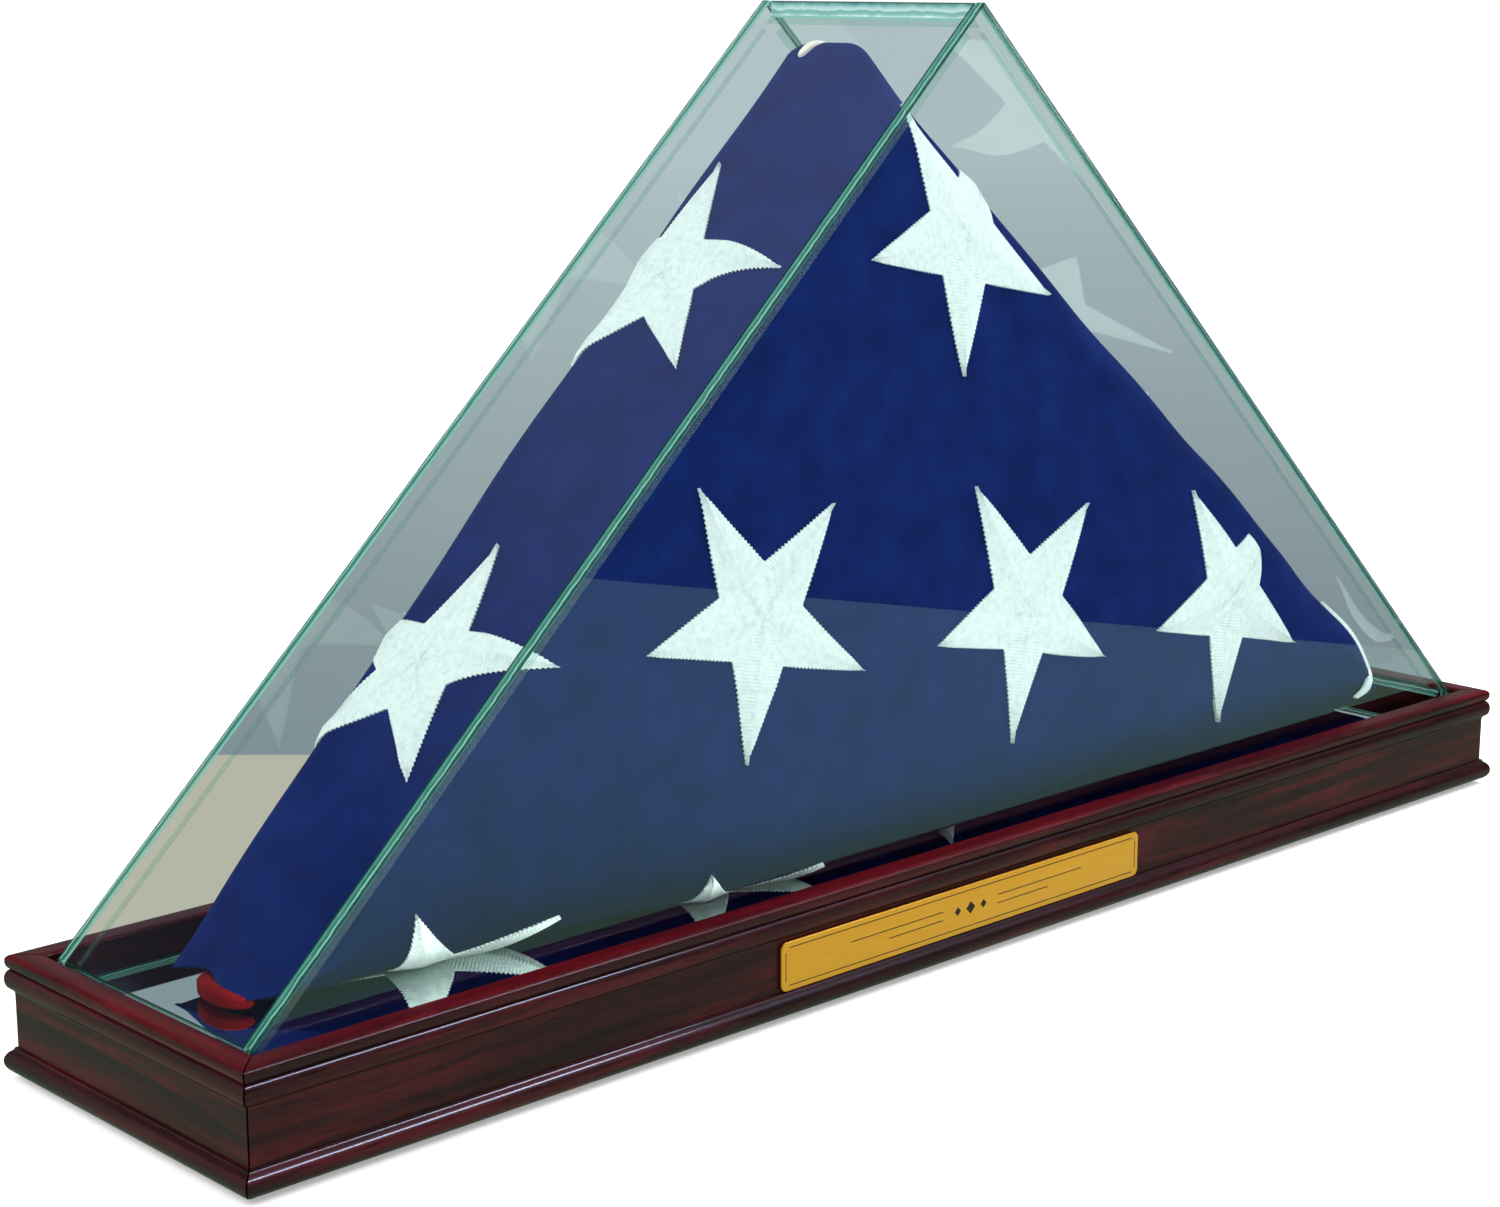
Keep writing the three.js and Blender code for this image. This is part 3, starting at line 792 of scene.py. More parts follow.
def side_frame(side):
    """Start, direction, inward normal and length of one side of the outline, in X and Z."""
    start, end = CORNERS[side], CORNERS[(side + 1) % 3]
    length = np.linalg.norm(end - start)
    direction = (end - start) / length
    return start, direction, np.array((-direction[1], direction[0])), length


def rounding(side, x, z, back=False):
    """The radii of a side's rounding where the bundle has this thickness."""
    in_face, in_depth = (BACK_ROUND if back else FRONT_ROUND)[side]
    thickness = back_y(x, z) - front_y(x, z)
    return in_face, np.minimum(in_depth, 0.32 * thickness)


def cloth_point(side, place):
    """Where a point of the cloth lies that is drawn flat in the front face's plane, as the cloth turns
    over one side of the bundle: past the front face, round the fold, across the strip and on to the back."""
    start, direction, inwards, length = side_frame(side)
    along = (place - start) @ direction
    depth_in = (place - start) @ inwards
    on_edge = start + np.outer(along, direction)
    edge_x, edge_z = on_edge.T
    face_r, depth_r = rounding(side, edge_x, edge_z)
    back_face_r, back_depth_r = rounding(side, edge_x, edge_z, back=True)
    run = face_r - depth_in
    front_arc = math.pi / 2 * np.sqrt((face_r**2 + depth_r**2) / 2)
    back_arc = math.pi / 2 * np.sqrt((back_face_r**2 + back_depth_r**2) / 2)
    strip = np.maximum(
        back_y(edge_x, edge_z) - back_depth_r - front_y(edge_x, edge_z) - depth_r, 0.0
    )
    turn = np.clip(1 - run / front_arc, 0, 1) * math.pi / 2
    back_turn = np.clip((run - front_arc - strip) / back_arc, 0, 1) * math.pi / 2
    inset = np.where(run < 0, depth_in, face_r * (1 - np.cos(turn)))
    inset = np.where(run > front_arc, 0.0, inset)
    inset = np.where(run > front_arc + strip, back_face_r * (1 - np.cos(back_turn)), inset)
    beyond = np.maximum(run - front_arc - strip - back_arc, 0)
    inset = inset + beyond
    sag = SIDE_SAG[side] * np.sin(np.clip(along / length, 0, 1) * math.pi)
    fade = np.clip(1 - inset / 0.1, 0, 1)
    flat = on_edge + np.outer(inset + sag * fade, inwards)
    x, z = flat.T
    front = front_y(x, z) + depth_r * (1 - np.sin(turn))
    across = front_y(x, z) + depth_r + (run - front_arc)
    back = back_y(x, z) - back_depth_r * (1 - np.sin(back_turn))
    y = np.where(run < front_arc, front, np.where(run < front_arc + strip, across, back))
    return drift(np.stack((x, y, z), axis=1))


def outline_ring(insets, sag_share):
    """The outline with each side moved in by its own inset, as points in X and Z, with for each point
    its weights of the three sides."""
    corner_steps, side_steps = 14, (110, 90, 90)
    sides = [side_frame(s) for s in range(3)]
    meets = []
    for i in range(3):
        a, b = sides[i - 1], sides[i]
        p = a[0] + a[2] * insets[i - 1]
        q = b[0] + b[2] * insets[i]
        t = np.linalg.solve(np.column_stack((a[1], -b[1])), q - p)[0]
        meets.append(p + a[1] * t)
    arcs, weights = [], []
    for i in range(3):
        before, after = sides[i - 1][1], sides[i][1]
        turn = math.acos(float(before @ after))
        inset = max(insets[i - 1], insets[i])
        radius = max(CORNER_ROUND[i] - inset, 0.0004)
        inwards = (after - before) / np.linalg.norm(after - before)
        centre = meets[i] + inwards * radius / math.cos(turn / 2)
        start = math.atan2(-before[0], before[1])
        angles = start + turn * np.linspace(0, 1, corner_steps + 1)
        arcs.append(centre + radius * np.column_stack((np.cos(angles), np.sin(angles))))
        share = np.linspace(0, 1, corner_steps + 1)
        weight = np.zeros((corner_steps + 1, 3))
        weight[:, i - 1] = 1 - share
        weight[:, i] += share
        weights.append(weight)
    points, parts = [], []
    for i in range(3):
        points.append(arcs[i])
        parts.append(weights[i])
        a, b = arcs[i][-1], arcs[(i + 1) % 3][0]
        t = np.linspace(0, 1, side_steps[i] + 2)[1:-1]
        straight = a + np.outer(t, b - a)
        sag = SIDE_SAG[i] * sag_share * np.sin(t * math.pi)
        points.append(straight + np.outer(sag, sides[i][2]))
        weight = np.zeros((len(t), 3))
        weight[:, i] = 1
        parts.append(weight)
    return np.concatenate(points), np.concatenate(parts)


def new_piece(name, points, faces, uv=None):
    """A mesh object from points and faces, with a UV map called cloth."""
    mesh = bpy.data.meshes.new(name)
    mesh.from_pydata([tuple(p) for p in points], [], [tuple(f) for f in faces])
    obj = bpy.data.objects.new(name, mesh)
    bpy.context.scene.collection.objects.link(obj)
    if uv is not None:
        layer = mesh.uv_layers.new(name="cloth")
        corner = np.zeros(len(mesh.loops), np.int32)
        mesh.loops.foreach_get("vertex_index", corner)
        layer.data.foreach_set("uv", np.asarray(uv, np.float32)[corner].ravel())
    mesh.update()
    return obj


def make_bundle(cloth):
    """The whole folded bundle as one closed skin."""
    centre = np.array((0.004, 0.128))
    reach = [float((centre - side_frame(s)[0]) @ side_frame(s)[2]) for s in range(3)]
    arc_steps, face_rings, strip_rings = 12, 22, 8
    rings, uvs = [], []

    def ring(insets, y_of, uv_run):
        points, weights = outline_ring(insets, max(0.0, 1 - max(insets) / 0.1))
        x, z = points.T
        depth = y_of(x, z, weights)
        rings.append(drift(np.stack((x, depth, z), axis=1)))
        uvs.append(points + uv_run)

    def depth_radius(x, z, weights, back):
        thickness = back_y(x, z) - front_y(x, z)
        table = np.array([r[1] for r in (BACK_ROUND if back else FRONT_ROUND)])
        return np.minimum(weights @ table, 0.32 * thickness)

    for k in np.linspace(0.985, 0, face_rings, endpoint=False):
        insets = [FRONT_ROUND[s][0] + k * (reach[s] - FRONT_ROUND[s][0]) for s in range(3)]
        ring(insets, lambda x, z, w: front_y(x, z), 0)
    for angle in np.linspace(90, 0, arc_steps + 1) * math.pi / 180:
        insets = [FRONT_ROUND[s][0] * (1 - math.cos(angle)) for s in range(3)]
        ring(
            insets,
            lambda x, z, w, a=angle: front_y(x, z) + depth_radius(x, z, w, False) * (1 - math.sin(a)),
            0.03 * (1 - math.sin(angle)),
        )
    for share in np.linspace(0, 1, strip_rings + 1)[1:]:
        ring(
            [0, 0, 0],
            lambda x, z, w, t=share: (front_y(x, z) + depth_radius(x, z, w, False)) * (1 - t)
            + (back_y(x, z) - depth_radius(x, z, w, True)) * t,
            0.03 + 0.03 * share,
        )
    for angle in np.linspace(0, 90, arc_steps + 1)[1:] * math.pi / 180:
        insets = [BACK_ROUND[s][0] * (1 - math.cos(angle)) for s in range(3)]
        ring(
            insets,
            lambda x, z, w, a=angle: back_y(x, z) - depth_radius(x, z, w, True) * (1 - math.sin(a)),
            0.06 + 0.03 * math.sin(angle),
        )
    for k in np.linspace(0, 0.985, face_rings + 1)[1:]:
        insets = [BACK_ROUND[s][0] + k * (reach[s] - BACK_ROUND[s][0]) for s in range(3)]
        ring(insets, lambda x, z, w: back_y(x, z), 0.09)
    count = len(rings[0])
    faces = []
    for r in range(len(rings) - 1):
        for i in range(count):
            j = (i + 1) % count
            faces.append((r * count + i, r * count + j, (r + 1) * count + j, (r + 1) * count + i))
    last = (len(rings) - 1) * count
    faces.append(tuple(range(count - 1, -1, -1)))
    faces.append(tuple(range(last, last + count)))
    flag = new_piece("flag_bundle", np.concatenate(rings), faces, np.concatenate(uvs))
    set_materials(flag, cloth)
    tidy(flag)
    smooth(flag, 60)
    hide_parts("folded_flag")
    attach(flag, "base")


def star_outline(radius, teeth):
    """A five-pointed star's edge, stepped by its zigzag stitches, with each point's arm."""
    inner = radius * math.sin(math.radians(18)) / math.sin(math.radians(54))
    first_arm = math.radians(43)
    points, arms = [], []
    for half in range(10):
        arm = (half + 1) // 2 % 5
        a = first_arm + half * math.radians(36)
        b = a + math.radians(36)
        ra, rb = (radius, inner) if half % 2 == 0 else (inner, radius)
        p = np.array((math.cos(a), math.sin(a))) * ra
        q = np.array((math.cos(b), math.sin(b))) * rb
        normal = np.array(((q - p)[1], -(q - p)[0])) / np.linalg.norm(q - p)
        for i in range(teeth):
            t = i / teeth
            bite = 0.42 * MM * (1 if i % 2 else -1) * min(1, 6 * min(t, 1 - t))
            points.append(p + (q - p) * t + normal * bite)
            arms.append(arm)
    return np.array(points), np.array(arms), first_arm


def tuck_arm(edge, arm_angle):
    """Ends one arm of a star's edge early, in the rounded crease that swallows its tip."""
    off_axis = [-36, -18, 0, 10, 20, 36]  # degrees from the arm's axis
    reach = [0.38, 0.43, 0.49, 0.52, 0.54, 0.6]  # shares of the star's radius
    distance = np.linalg.norm(edge, axis=1)
    angle = np.degrees(np.arctan2(edge[:, 1], edge[:, 0]) - arm_angle)
    limit = np.interp(angle, off_axis, reach) * distance.max()
    share = np.where(np.abs(angle) < 36, np.minimum(1, limit / distance), 1)
    return edge * share[:, None]


def make_star_sliver(name, side, knots, thread):
    """The part of a star that shows as a sickle where its cloth is wrapped round the right tip. Each knot
    is a place on the cloth and the sickle's half width there in millimetres."""
    knot_places = np.arange(len(knots), dtype=float)
    at = np.linspace(0, len(knots) - 1, 90)
    spine = np.stack([blend_curve(at, list(zip(knot_places, [k[0][i] for k in knots]))) for i in (0, 1)], axis=1)
    half = blend_curve(at, list(zip(knot_places, [k[1] for k in knots]))) * MM
    along = np.gradient(spine, axis=0)
    along /= np.linalg.norm(along, axis=1)[:, None]
    beside = np.stack((-along[:, 1], along[:, 0]), axis=1)
    across = np.linspace(-1, 1, 9)
    flat = (spine[:, None] + beside[:, None] * (half[:, None] * across)[:, :, None]).reshape(-1, 2)
    height = np.tile((0.5 + 1.2 * (1 - np.abs(across))) * MM, len(at))
    step = 0.0006
    here = cloth_point(side, flat)
    du = cloth_point(side, flat + (step, 0)) - cloth_point(side, flat - (step, 0))
    dv = cloth_point(side, flat + (0, step)) - cloth_point(side, flat - (0, step))
    normal = np.cross(du, dv)
    normal /= np.linalg.norm(normal, axis=1)[:, None]
    points = np.concatenate((here + normal * height[:, None], here - normal * 0.6 * MM))
    row, count = len(across), len(flat)
    faces = []
    for r in range(len(at) - 1):
        for i in range(row - 1):
            a = r * row + i
            faces.append((a, a + 1, a + row + 1, a + row))
            faces.append((count + a, count + a + row, count + a + row + 1, count + a + 1))
        for a in (r * row, r * row + row - 1):
            faces.append((a, a + row, count + a + row, count + a))
    for start in (0, count - row):
        for i in range(row - 1):
            a = start + i
            faces.append((a, count + a, count + a + 1, a + 1))
    sliver = new_piece(name, points, faces, np.concatenate((flat, flat)))
    set_materials(sliver, thread)
    tidy(sliver)
    smooth(sliver, 50)
    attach(sliver, "base")


def make_star(name, side, centre, thread, radius=0.048, face=1, turn=0.0, is_tucked=False):
    """One embroidered star, laid on the cloth and raised by its padding."""
    teeth, rings = 44, 9
    edge, arms, first_arm = star_outline(radius, teeth)
    if is_tucked:
        edge = tuck_arm(edge, first_arm)
    c, s = math.cos(turn), math.sin(turn)
    count = len(edge)
    flat, height, uv = [np.zeros(2)], [1.15 * MM], [np.zeros(2)]
    shares = [(i + 1) / rings for i in range(rings)]
    for share in shares:
        for i in range(count):
            p = edge[i] * share
            axis_angle = first_arm + arms[i] * math.radians(72)
            axis = np.array((math.cos(axis_angle), math.sin(axis_angle)))
            along = p @ axis
            across = p @ np.array((-axis[1], axis[0]))
            width = max((radius - along) * math.tan(math.radians(18)), 1e-5)
            ridge = max(0.0, 1 - abs(across) / width)
            flat.append(p)
            height.append((0.5 + 1.2 * ridge) * MM)
            uv.append(np.array((along, across)))
    flat, height, uv = np.array(flat), np.array(height), np.array(uv)
    turned = flat @ np.array(((c, s), (-s, c)))
    place = turned + np.array(centre)

    def surface(p):
        if face > 0:
            return cloth_point(side, p)
        x, z = p.T
        return drift(np.stack((x, back_y(x, z), z), axis=1))

    step = 0.0006
    here = surface(place)
    du = surface(place + (step, 0)) - surface(place - (step, 0))
    dv = surface(place + (0, step)) - surface(place - (0, step))
    normal = np.cross(du, dv) * face
    normal /= np.linalg.norm(normal, axis=1)[:, None]
    top = here + normal * height[:, None]
    under = here - normal * 0.6 * MM
    faces = []
    n = len(flat)
    for i in range(count):
        j = (i + 1) % count
        faces.append((0, 1 + i, 1 + j))
        faces.append((n, n + 1 + j, n + 1 + i))
        for r in range(rings - 1):
            a, b = 1 + r * count, 1 + (r + 1) * count
            faces.append((a + i, b + i, b + j, a + j))
            faces.append((n + a + i, n + a + j, n + b + j, n + b + i))
        rim = 1 + (rings - 1) * count
        faces.append((rim + i, n + rim + i, n + rim + j, rim + j))
    star = new_piece(name, np.concatenate((top, under)), faces, np.concatenate((uv, uv)))
    set_materials(star, thread)
    tidy(star)
    smooth(star, 50)
    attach(star, "base")


def make_stars(thread):
    """Stars stand on the flag's own grid: rows and columns folded at 45 degrees to the sides."""
    places = [
        ("star_front_left", 2, (-0.0868, 0.1276), 0.048, 0),
        ("star_front_middle", 0, (0.0375, 0.1128), 0.048, 0),
        ("star_front_right", 1, (0.1593, 0.1001), 0.050, 0),
        ("star_front_top", 1, (0.0296, 0.244), 0.0485, 0),
        ("star_left_upper", 2, (-0.0990, 0.2545), 0.0455, 5),
        ("star_left_lower", 2, (-0.2070, 0.1400), 0.0470, 6),
        ("star_bottom_left", 0, (-0.200, 0.0143), 0.048, -7.5),
        ("star_bottom_middle", 0, (-0.087, 0.0018), 0.048, -1.6),
        ("star_bottom_right", 0, (0.037, -0.014), 0.048, 0),
        ("star_right_upper", 1, (0.1486, 0.232), 0.048, 0),
        ("star_right_end", 1, (0.300, 0.099), 0.046, 0),
    ]
    for name, side, centre, radius, degrees in places:
        is_tucked = name == "star_front_right"
        make_star(name, side, centre, thread, radius, turn=math.radians(degrees), is_tucked=is_tucked)
    make_star_sliver(
        "star_right_tip",
        1,
        [
            ((0.2380, 0.0860), 0.3),
            ((0.2450, 0.0780), 1.0),
            ((0.2520, 0.0705), 1.6),
            ((0.2600, 0.0610), 2.2),
            ((0.2665, 0.0525), 2.6),
            ((0.2645, 0.0485), 2.4),
            ((0.2570, 0.0463), 1.6),
            ((0.2470, 0.0445), 0.3),
        ],
        thread,
    )
    for name, centre in (
        ("star_back_top", (0.000, 0.222)),
        ("star_back_left", (-0.136, 0.098)),
        ("star_back_middle", (-0.010, 0.103)),
        ("star_back_right", (0.116, 0.108)),
    ):
        make_star(name, 0, centre, thread, face=-1, turn=math.radians(-50))


def make_fold(name, path, widths, rises, cloth):
    """A small lip of cloth that shows where the bundle is tucked: a flattened roll along a path."""
    around = 24
    points = np.array(path, float)
    along = np.gradient(points, axis=0)
    along /= np.linalg.norm(along, axis=1)[:, None]
    sides = np.cross(along, (0.0, 0.0, 1.0))
    sides /= np.linalg.norm(sides, axis=1)[:, None]
    ups = np.cross(sides, along)
    angles = np.linspace(0, 2 * math.pi, around, endpoint=False)
    skin, faces = [], []
    for point, side, up, width, rise in zip(points, sides, ups, widths, rises):
        for angle in angles:
            pinch = 1 - 0.25 * math.exp(-((math.sin(angle / 2) / 0.25) ** 2))
            skin.append(point + side * width * math.cos(angle) * pinch + up * rise * math.sin(angle))
    for r in range(len(points) - 1):
        for i in range(around):
            j = (i + 1) % around
            faces.append((r * around + i, r * around + j, (r + 1) * around + j, (r + 1) * around + i))
    last = (len(points) - 1) * around
    faces.append(tuple(range(around - 1, -1, -1)))
    faces.append(tuple(range(last, last + around)))
    fold = new_piece(name, skin, faces)
    set_materials(fold, cloth)
    tidy(fold)
    apply_modifier(fold, "SUBSURF", levels=1, render_levels=1)
    smooth(fold, 60)
    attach(fold, "base")


def make_tucked_ends(red, cream, blue_cloth):
    """The striped end of the flag is tucked away inside; a red stripe and the white heading peep out."""
    low = SEAT_Z
    make_fold(
        "red_stripe_fold",
        [
            (-0.2560, 0.0225, low + 0.0022),
            (-0.2622, 0.0205, low + 0.0026),
            (-0.2668, 0.0165, low + 0.0030),
            (-0.2690, 0.0105, low + 0.0032),
            (-0.2698, 0.0035, low + 0.0032),
            (-0.2690, -0.0030, low + 0.0029),
            (-0.2640, -0.0070, low + 0.0024),
        ],
        [0.002, 0.003, 0.0036, 0.0038, 0.0036, 0.003, 0.002],
        [0.0016, 0.0024, 0.0030, 0.0032, 0.0030, 0.0024, 0.0016],
        red,
    )
    make_fold(
        "white_heading_fold",
        [
            (-0.0120, 0.022, 0.3030),
            (-0.0090, 0.021, 0.3056),
            (-0.0060, 0.020, 0.3068),
            (-0.0030, 0.019, 0.3068),
            (0.0000, 0.018, 0.3040),
        ],
        [0.0015, 0.003, 0.0036, 0.003, 0.0012],
        [0.0010, 0.0018, 0.0022, 0.0020, 0.0010],
        cream,
    )
    make_fold(
        "blue_corner_fold",
        [
            (0.0000, 0.018, 0.3040),
            (0.0022, 0.016, 0.3068),
            (0.0045, 0.014, 0.3064),
            (0.0065, 0.012, 0.3030),
        ],
        [0.0010, 0.0022, 0.0022, 0.0010],
        [0.0008, 0.0014, 0.0014, 0.0008],
        blue_cloth,
    )


# ---- Light, floor and surroundings ---------------------------------------------------------------
def beyond_line(tree, position, normal, distance):
    """1 where a floor point lies past a straight edge, 0 before it."""
    measure = add(
        tree, "ShaderNodeVectorMath", {0: position}, {1: normal}, operation="DOT_PRODUCT"
    ).outputs["Value"]
    return add(
        tree, "ShaderNodeMath", {0: measure}, {1: distance}, operation="GREATER_THAN"
    ).outputs[0]


def mirrored_to_camera(tree, path):
    """1 for what the camera sees mirrored. Light that a mirror throws back on to cloth or wood gives 0."""
    direct = add(
        tree, "ShaderNodeMath", {0: path.outputs["Diffuse Depth"]}, {1: 0.5}, operation="LESS_THAN"
    )
    return add(
        tree,
        "ShaderNodeMath",
        {0: direct.outputs[0], 1: path.outputs["Is Glossy Ray"]},
        operation="MULTIPLY",
    ).outputs[0]


def seen_through_glass(tree, path):
    """1 for what the camera sees through a pane, 0 for what it sees past the case."""
    return add(
        tree, "ShaderNodeMath", {0: path.outputs["Transparent Depth"]}, {1: 0.5}, operation="GREATER_THAN"
    ).outputs[0]


def make_floor():
    """A plain white floor. In the glass it is a pale table top with a dim room beyond it."""
    start_fresh()
    bpy.ops.mesh.primitive_plane_add(size=30)
    floor = settle(active("floor"))
    material, tree, output = new_material("matte_white_floor")
    position = add(tree, "ShaderNodeTexCoord").outputs["Object"]
    path = add(tree, "ShaderNodeLightPath")
    past_front = beyond_line(tree, position, (0.910, -0.414, 0), 0.525)
    past_back = beyond_line(tree, position, (0.687, 0.727, 0), 0.206)
    diffuse = add(tree, "ShaderNodeBsdfDiffuse", values={"Color": (0.9, 0.9, 0.9, 1)})
    lift = add(tree, "ShaderNodeEmission", values={"Color": (1, 1, 1, 1), "Strength": 0.3})
    white = add(tree, "ShaderNodeAddShader", {0: diffuse.outputs[0], 1: lift.outputs[0]})

    def glow(hex_colour):
        return add(tree, "ShaderNodeEmission", values={"Color": srgb(hex_colour), "Strength": 1.0})

    def mix(factor, a, b):
        return add(tree, "ShaderNodeMixShader", {0: factor, 1: a.outputs[0], 2: b.outputs[0]})

    mirrored = mix(past_front, glow("#8fbaa4"), glow("#0c0e12"))
    away = add(
        tree, "ShaderNodeVectorMath", {0: position}, {1: (0.687, 0.727, 0)}, operation="DOT_PRODUCT"
    ).outputs["Value"]
    apart = add(tree, "ShaderNodeMath", {0: away}, operation="ABSOLUTE").outputs[0]
    far = add(tree, "ShaderNodeMapRange", {"Value": apart}, {"From Min": 0.2, "From Max": 4.2}).outputs["Result"]
    wall = ramp(tree, far, [(0.0, srgb("#8d9ca2")), (0.15, srgb("#a3afb4")), (0.4, srgb("#b2c0c5")), (1.0, srgb("#c2d0d4"))])
    backdrop = add(tree, "ShaderNodeEmission", {"Color": wall}, {"Strength": 1.0})
    table = mix(past_back, glow("#c9c5b4"), backdrop)
    seen = mix(beyond_line(tree, position, (-0.687, -0.727, 0), 0.21), table, backdrop)
    clear_or_not = mix(seen_through_glass(tree, path), white, seen)
    by_camera = mix(path.outputs["Is Camera Ray"], white, clear_or_not)
    surface = mix(mirrored_to_camera(tree, path), by_camera, mirrored)
    tree.links.new(surface.outputs[0], output.inputs["Surface"])
    set_materials(floor, material)


def make_world():
    """Soft white light all round. Gloss mirrors a room: a bluish window high in front, grey walls behind."""
    world = bpy.data.worlds.new("studio")
    bpy.context.scene.world = world
    world.use_nodes = True
    tree = world.node_tree
    tree.nodes.clear()
    output = add(tree, "ShaderNodeOutputWorld")
    path = add(tree, "ShaderNodeLightPath")
    direction = add(tree, "ShaderNodeTexCoord").outputs["Generated"]
    split = add(tree, "ShaderNodeSeparateXYZ", {"Vector": direction})
    front = ramp(
        tree,
        split.outputs["Z"],
        [(0.0, srgb("#0c0e12")), (0.4, srgb("#1a1d24")), (0.8, srgb("#3c4250")), (1.0, srgb("#4a5060"))],
    )
    walls = [
        (0.0, "#a9b7bd"),
        (0.35, "#a3b0b8"),
        (0.47, "#525a68"),
        (0.56, "#343c4a"),
        (0.63, "#78848e"),
        (0.72, "#929ab2"),
        (1.0, "#6a707c"),
    ]
    back = ramp(tree, split.outputs["Z"], [(height, srgb(hex_colour)) for height, hex_colour in walls])
    side = add(
        tree,
        "ShaderNodeMapRange",
        {"Value": split.outputs["Y"]},
        {"From Min": -0.15, "From Max": 0.15},
    ).outputs["Result"]
    room = add(tree, "ShaderNodeMix", {0: side, 6: front, 7: back}, data_type="RGBA")

    def light(strength, colour=None, source=None):
        values = {"Strength": strength}
        if colour:
            values["Color"] = colour
        return add(tree, "ShaderNodeBackground", {"Color": source} if source else None, values)

    def mix(factor, a, b):
        return add(tree, "ShaderNodeMixShader", {0: factor, 1: a.outputs[0], 2: b.outputs[0]})

    soft = light(0.9, (0.97, 0.98, 1.0, 1))
    seen = mix(seen_through_glass(tree, path), light(1.0, (1, 1, 1, 1)), light(1.0, srgb("#c2d0d4")))
    mirrored = light(1.0, source=room.outputs[2])
    with_gloss = mix(mirrored_to_camera(tree, path), soft, mirrored)
    surface = mix(path.outputs["Is Camera Ray"], with_gloss, seen)
    tree.links.new(surface.outputs[0], output.inputs["Surface"])


def make_lamp(name, place, size, watts, colour, gloss, target=(0, 0, 0.12)):
    """A soft panel. One that only gives gloss stands for a window's image in the lacquer and glass."""
    data = bpy.data.lights.new(name, "AREA")
    data.shape = "RECTANGLE"
    data.size, data.size_y = size
    data.energy = watts
    data.color = srgb(colour)[:3]
    lamp = bpy.data.objects.new(name, data)
    bpy.context.scene.collection.objects.link(lamp)
    lamp.location = place
    lamp.rotation_mode = "QUATERNION"
    lamp.rotation_quaternion = (Vector(target) - Vector(place)).to_track_quat("-Z", "Y")
    lamp.visible_camera = False
    lamp.visible_glossy = gloss
    lamp.visible_diffuse = not gloss
    return lamp


def shine_only_on(lamp, name, pieces):
    """Limits a lamp to some pieces: the window's image to the lacquer, the mirror's bounce to what lies low."""
    lit = bpy.data.collections.new(name)
    for piece in pieces:
        lit.objects.link(bpy.data.objects[piece])
    lamp.light_linking.receiver_collection = lit


# ---- Putting it together -------------------------------------------------------------------------
make_camera()
bpy.context.scene.view_settings.view_transform = "Standard"

stains = [srgb(c) for c in ("#1f0c0b", "#300e10", "#480e15")]
# a lighter, redder copy of the stain for the lip's upward faces: painted light where the top of the rail catches more
# light
lit_top_stains = [srgb(c) for c in ("#300708", "#48090c", "#5e0b10")]
cherry = [
    (stained_cherry(f"stained_cherry_{way}", axis, *stains, 0.22), stained_cherry(f"cherry_lit_top_{way}", axis, *lit_top_stains, 0.06))
    for axis, way in enumerate(("lengthwise", "crosswise"))
]
brass = lacquered_brass()
enamel = speckled("black_engraver_enamel", "#20140a", "#2c1c10", 0.5, 0.5)
sheet = float_glass()
# Edge colours: the sea green is the glass's own; the pale and dark lines between the stops are painted light piped
# along the pane and painted glints.
green_edge = glass_edge(
    "green_glass_edge",
    [
        (0.0, "#0a3b33"),
        (0.22, "#1b5b4c"),
        (0.31, "#98cfc4"),
        (0.4, "#3c806d"),
        (0.54, "#154a3e"),
        (0.66, "#2f7262"),
        (0.95, "#4f9080"),
    ],
    0.1,
    0.2,
)
ground_arris = glass_edge("ground_glass_arris", [(0.0, "#08392f"), (0.5, "#1c6050"), (0.85, "#7ab5a5")], 0.12, 0.1)
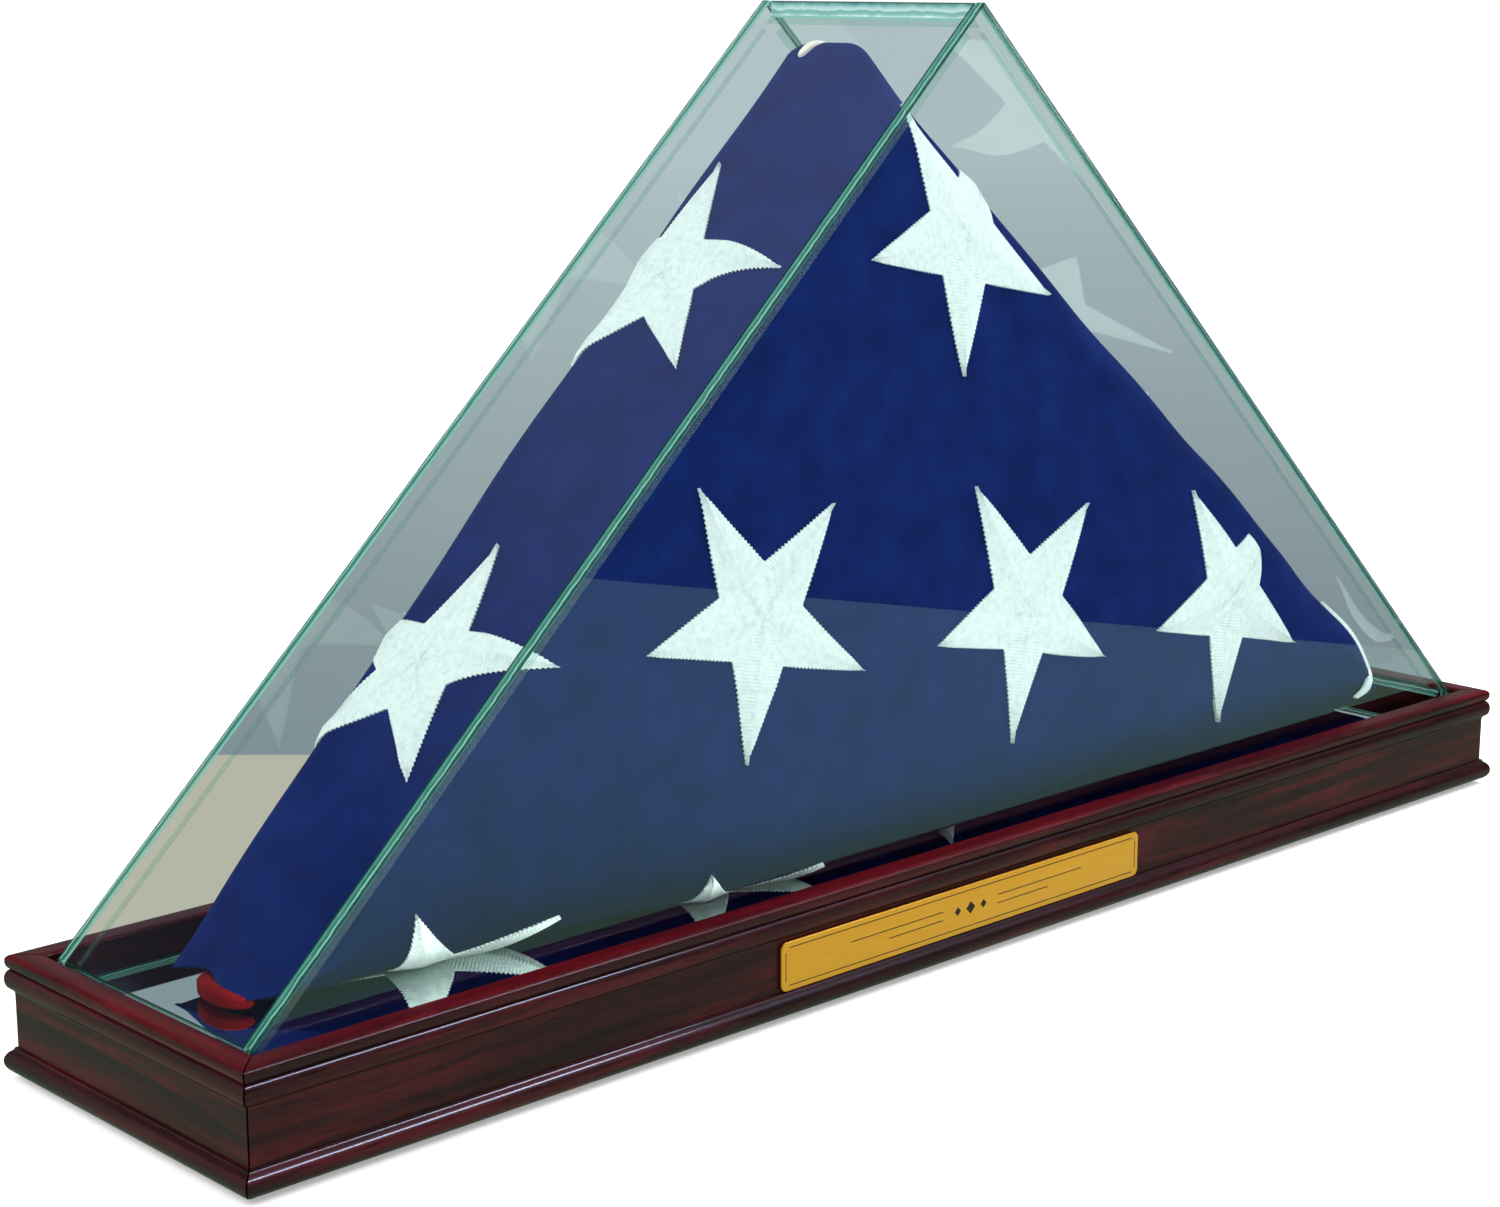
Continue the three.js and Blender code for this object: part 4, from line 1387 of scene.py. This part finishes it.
glued_edge = glass_edge(
    "glued_glass_edge",
    [
        (0.0, "#1d5a54"),
        (0.16, "#4b8f88"),
        (0.3, "#8dbcb6"),
        (0.5, "#c6dfdc"),
        (0.62, "#6fa8a0"),
        (0.82, "#8fc0ba"),
        (0.97, "#effffb"),
    ],
    0.25,
    0.3,
)
blue = woven_cloth("navy_cotton_bunting", "#091c4f", "#0c205a", "#112563", "#6878c8")
thread = white_embroidery()

workshop = {
    "pine": speckled("sawn_pine", "#b58a55", "#dcbc8b", 3.0, 0.75, stretch=(0.06, 1, 1)),
    "fibreboard": speckled("raw_fibreboard", "#7b5a39", "#94704b", 0.8, 0.9),
    "steel": speckled("drawn_steel", "#8d8d8b", "#a9a9a6", 0.5, 0.35, 1.0),
    "rubber": speckled("moulded_rubber", "#151515", "#222222", 0.6, 0.75),
    "tape": speckled("foam_tape", "#d8d4c6", "#ece8dc", 0.7, 0.9),
    "mirror": silvered_mirror(),
    "sealant": clear_sealant(),
}
for part in frame["record"]["subparts"]:
    if part["material_slot"] in workshop:
        set_materials(frame["nodes"][part["node"]], workshop[part["material_slot"]])

for side in ("front", "back", "left", "right"):
    make_rail(side, cherry)
make_name_plate(brass, enamel)
make_cover((sheet, green_edge, ground_arris, glued_edge))
make_bundle(blue)
make_stars(thread)
red = woven_cloth("red_cotton_bunting", "#52080c", "#66090e", "#7a0e12", "#c87070")
cream = woven_cloth("white_cotton_heading", "#d8d2c2", "#ece7da", "#f6f3ea", "#ffffff")
make_tucked_ends(red, cream, blue)

make_floor()
make_world()
make_lamp("key", (1.3, -0.75, 1.5), (1.2, 0.8), 32, "#f8f9ff", False)
make_lamp("fill", (-1.3, 0.5, 1.4), (1.2, 1.2), 16, "#ffffff", False)
window = make_lamp("window", (0.72, -1.0, 1.15), (0.5, 0.22), 32, "#c8d4f4", True, (-0.2, -0.06, 0.03))
shine_only_on(window, "glossy_wood", ("rail_front", "rail_left", "rail_right", "rail_back", "name_plate_sheet"))
bounce = make_lamp("bounce", (0.1, -1.3, 0.24), (1.4, 0.3), 30, "#ffffff", False, (0, -0.03, 0.04))
shine_only_on(
    bounce, "low_stars", ("star_bottom_left", "star_bottom_middle", "star_bottom_right", "red_stripe_fold")
)
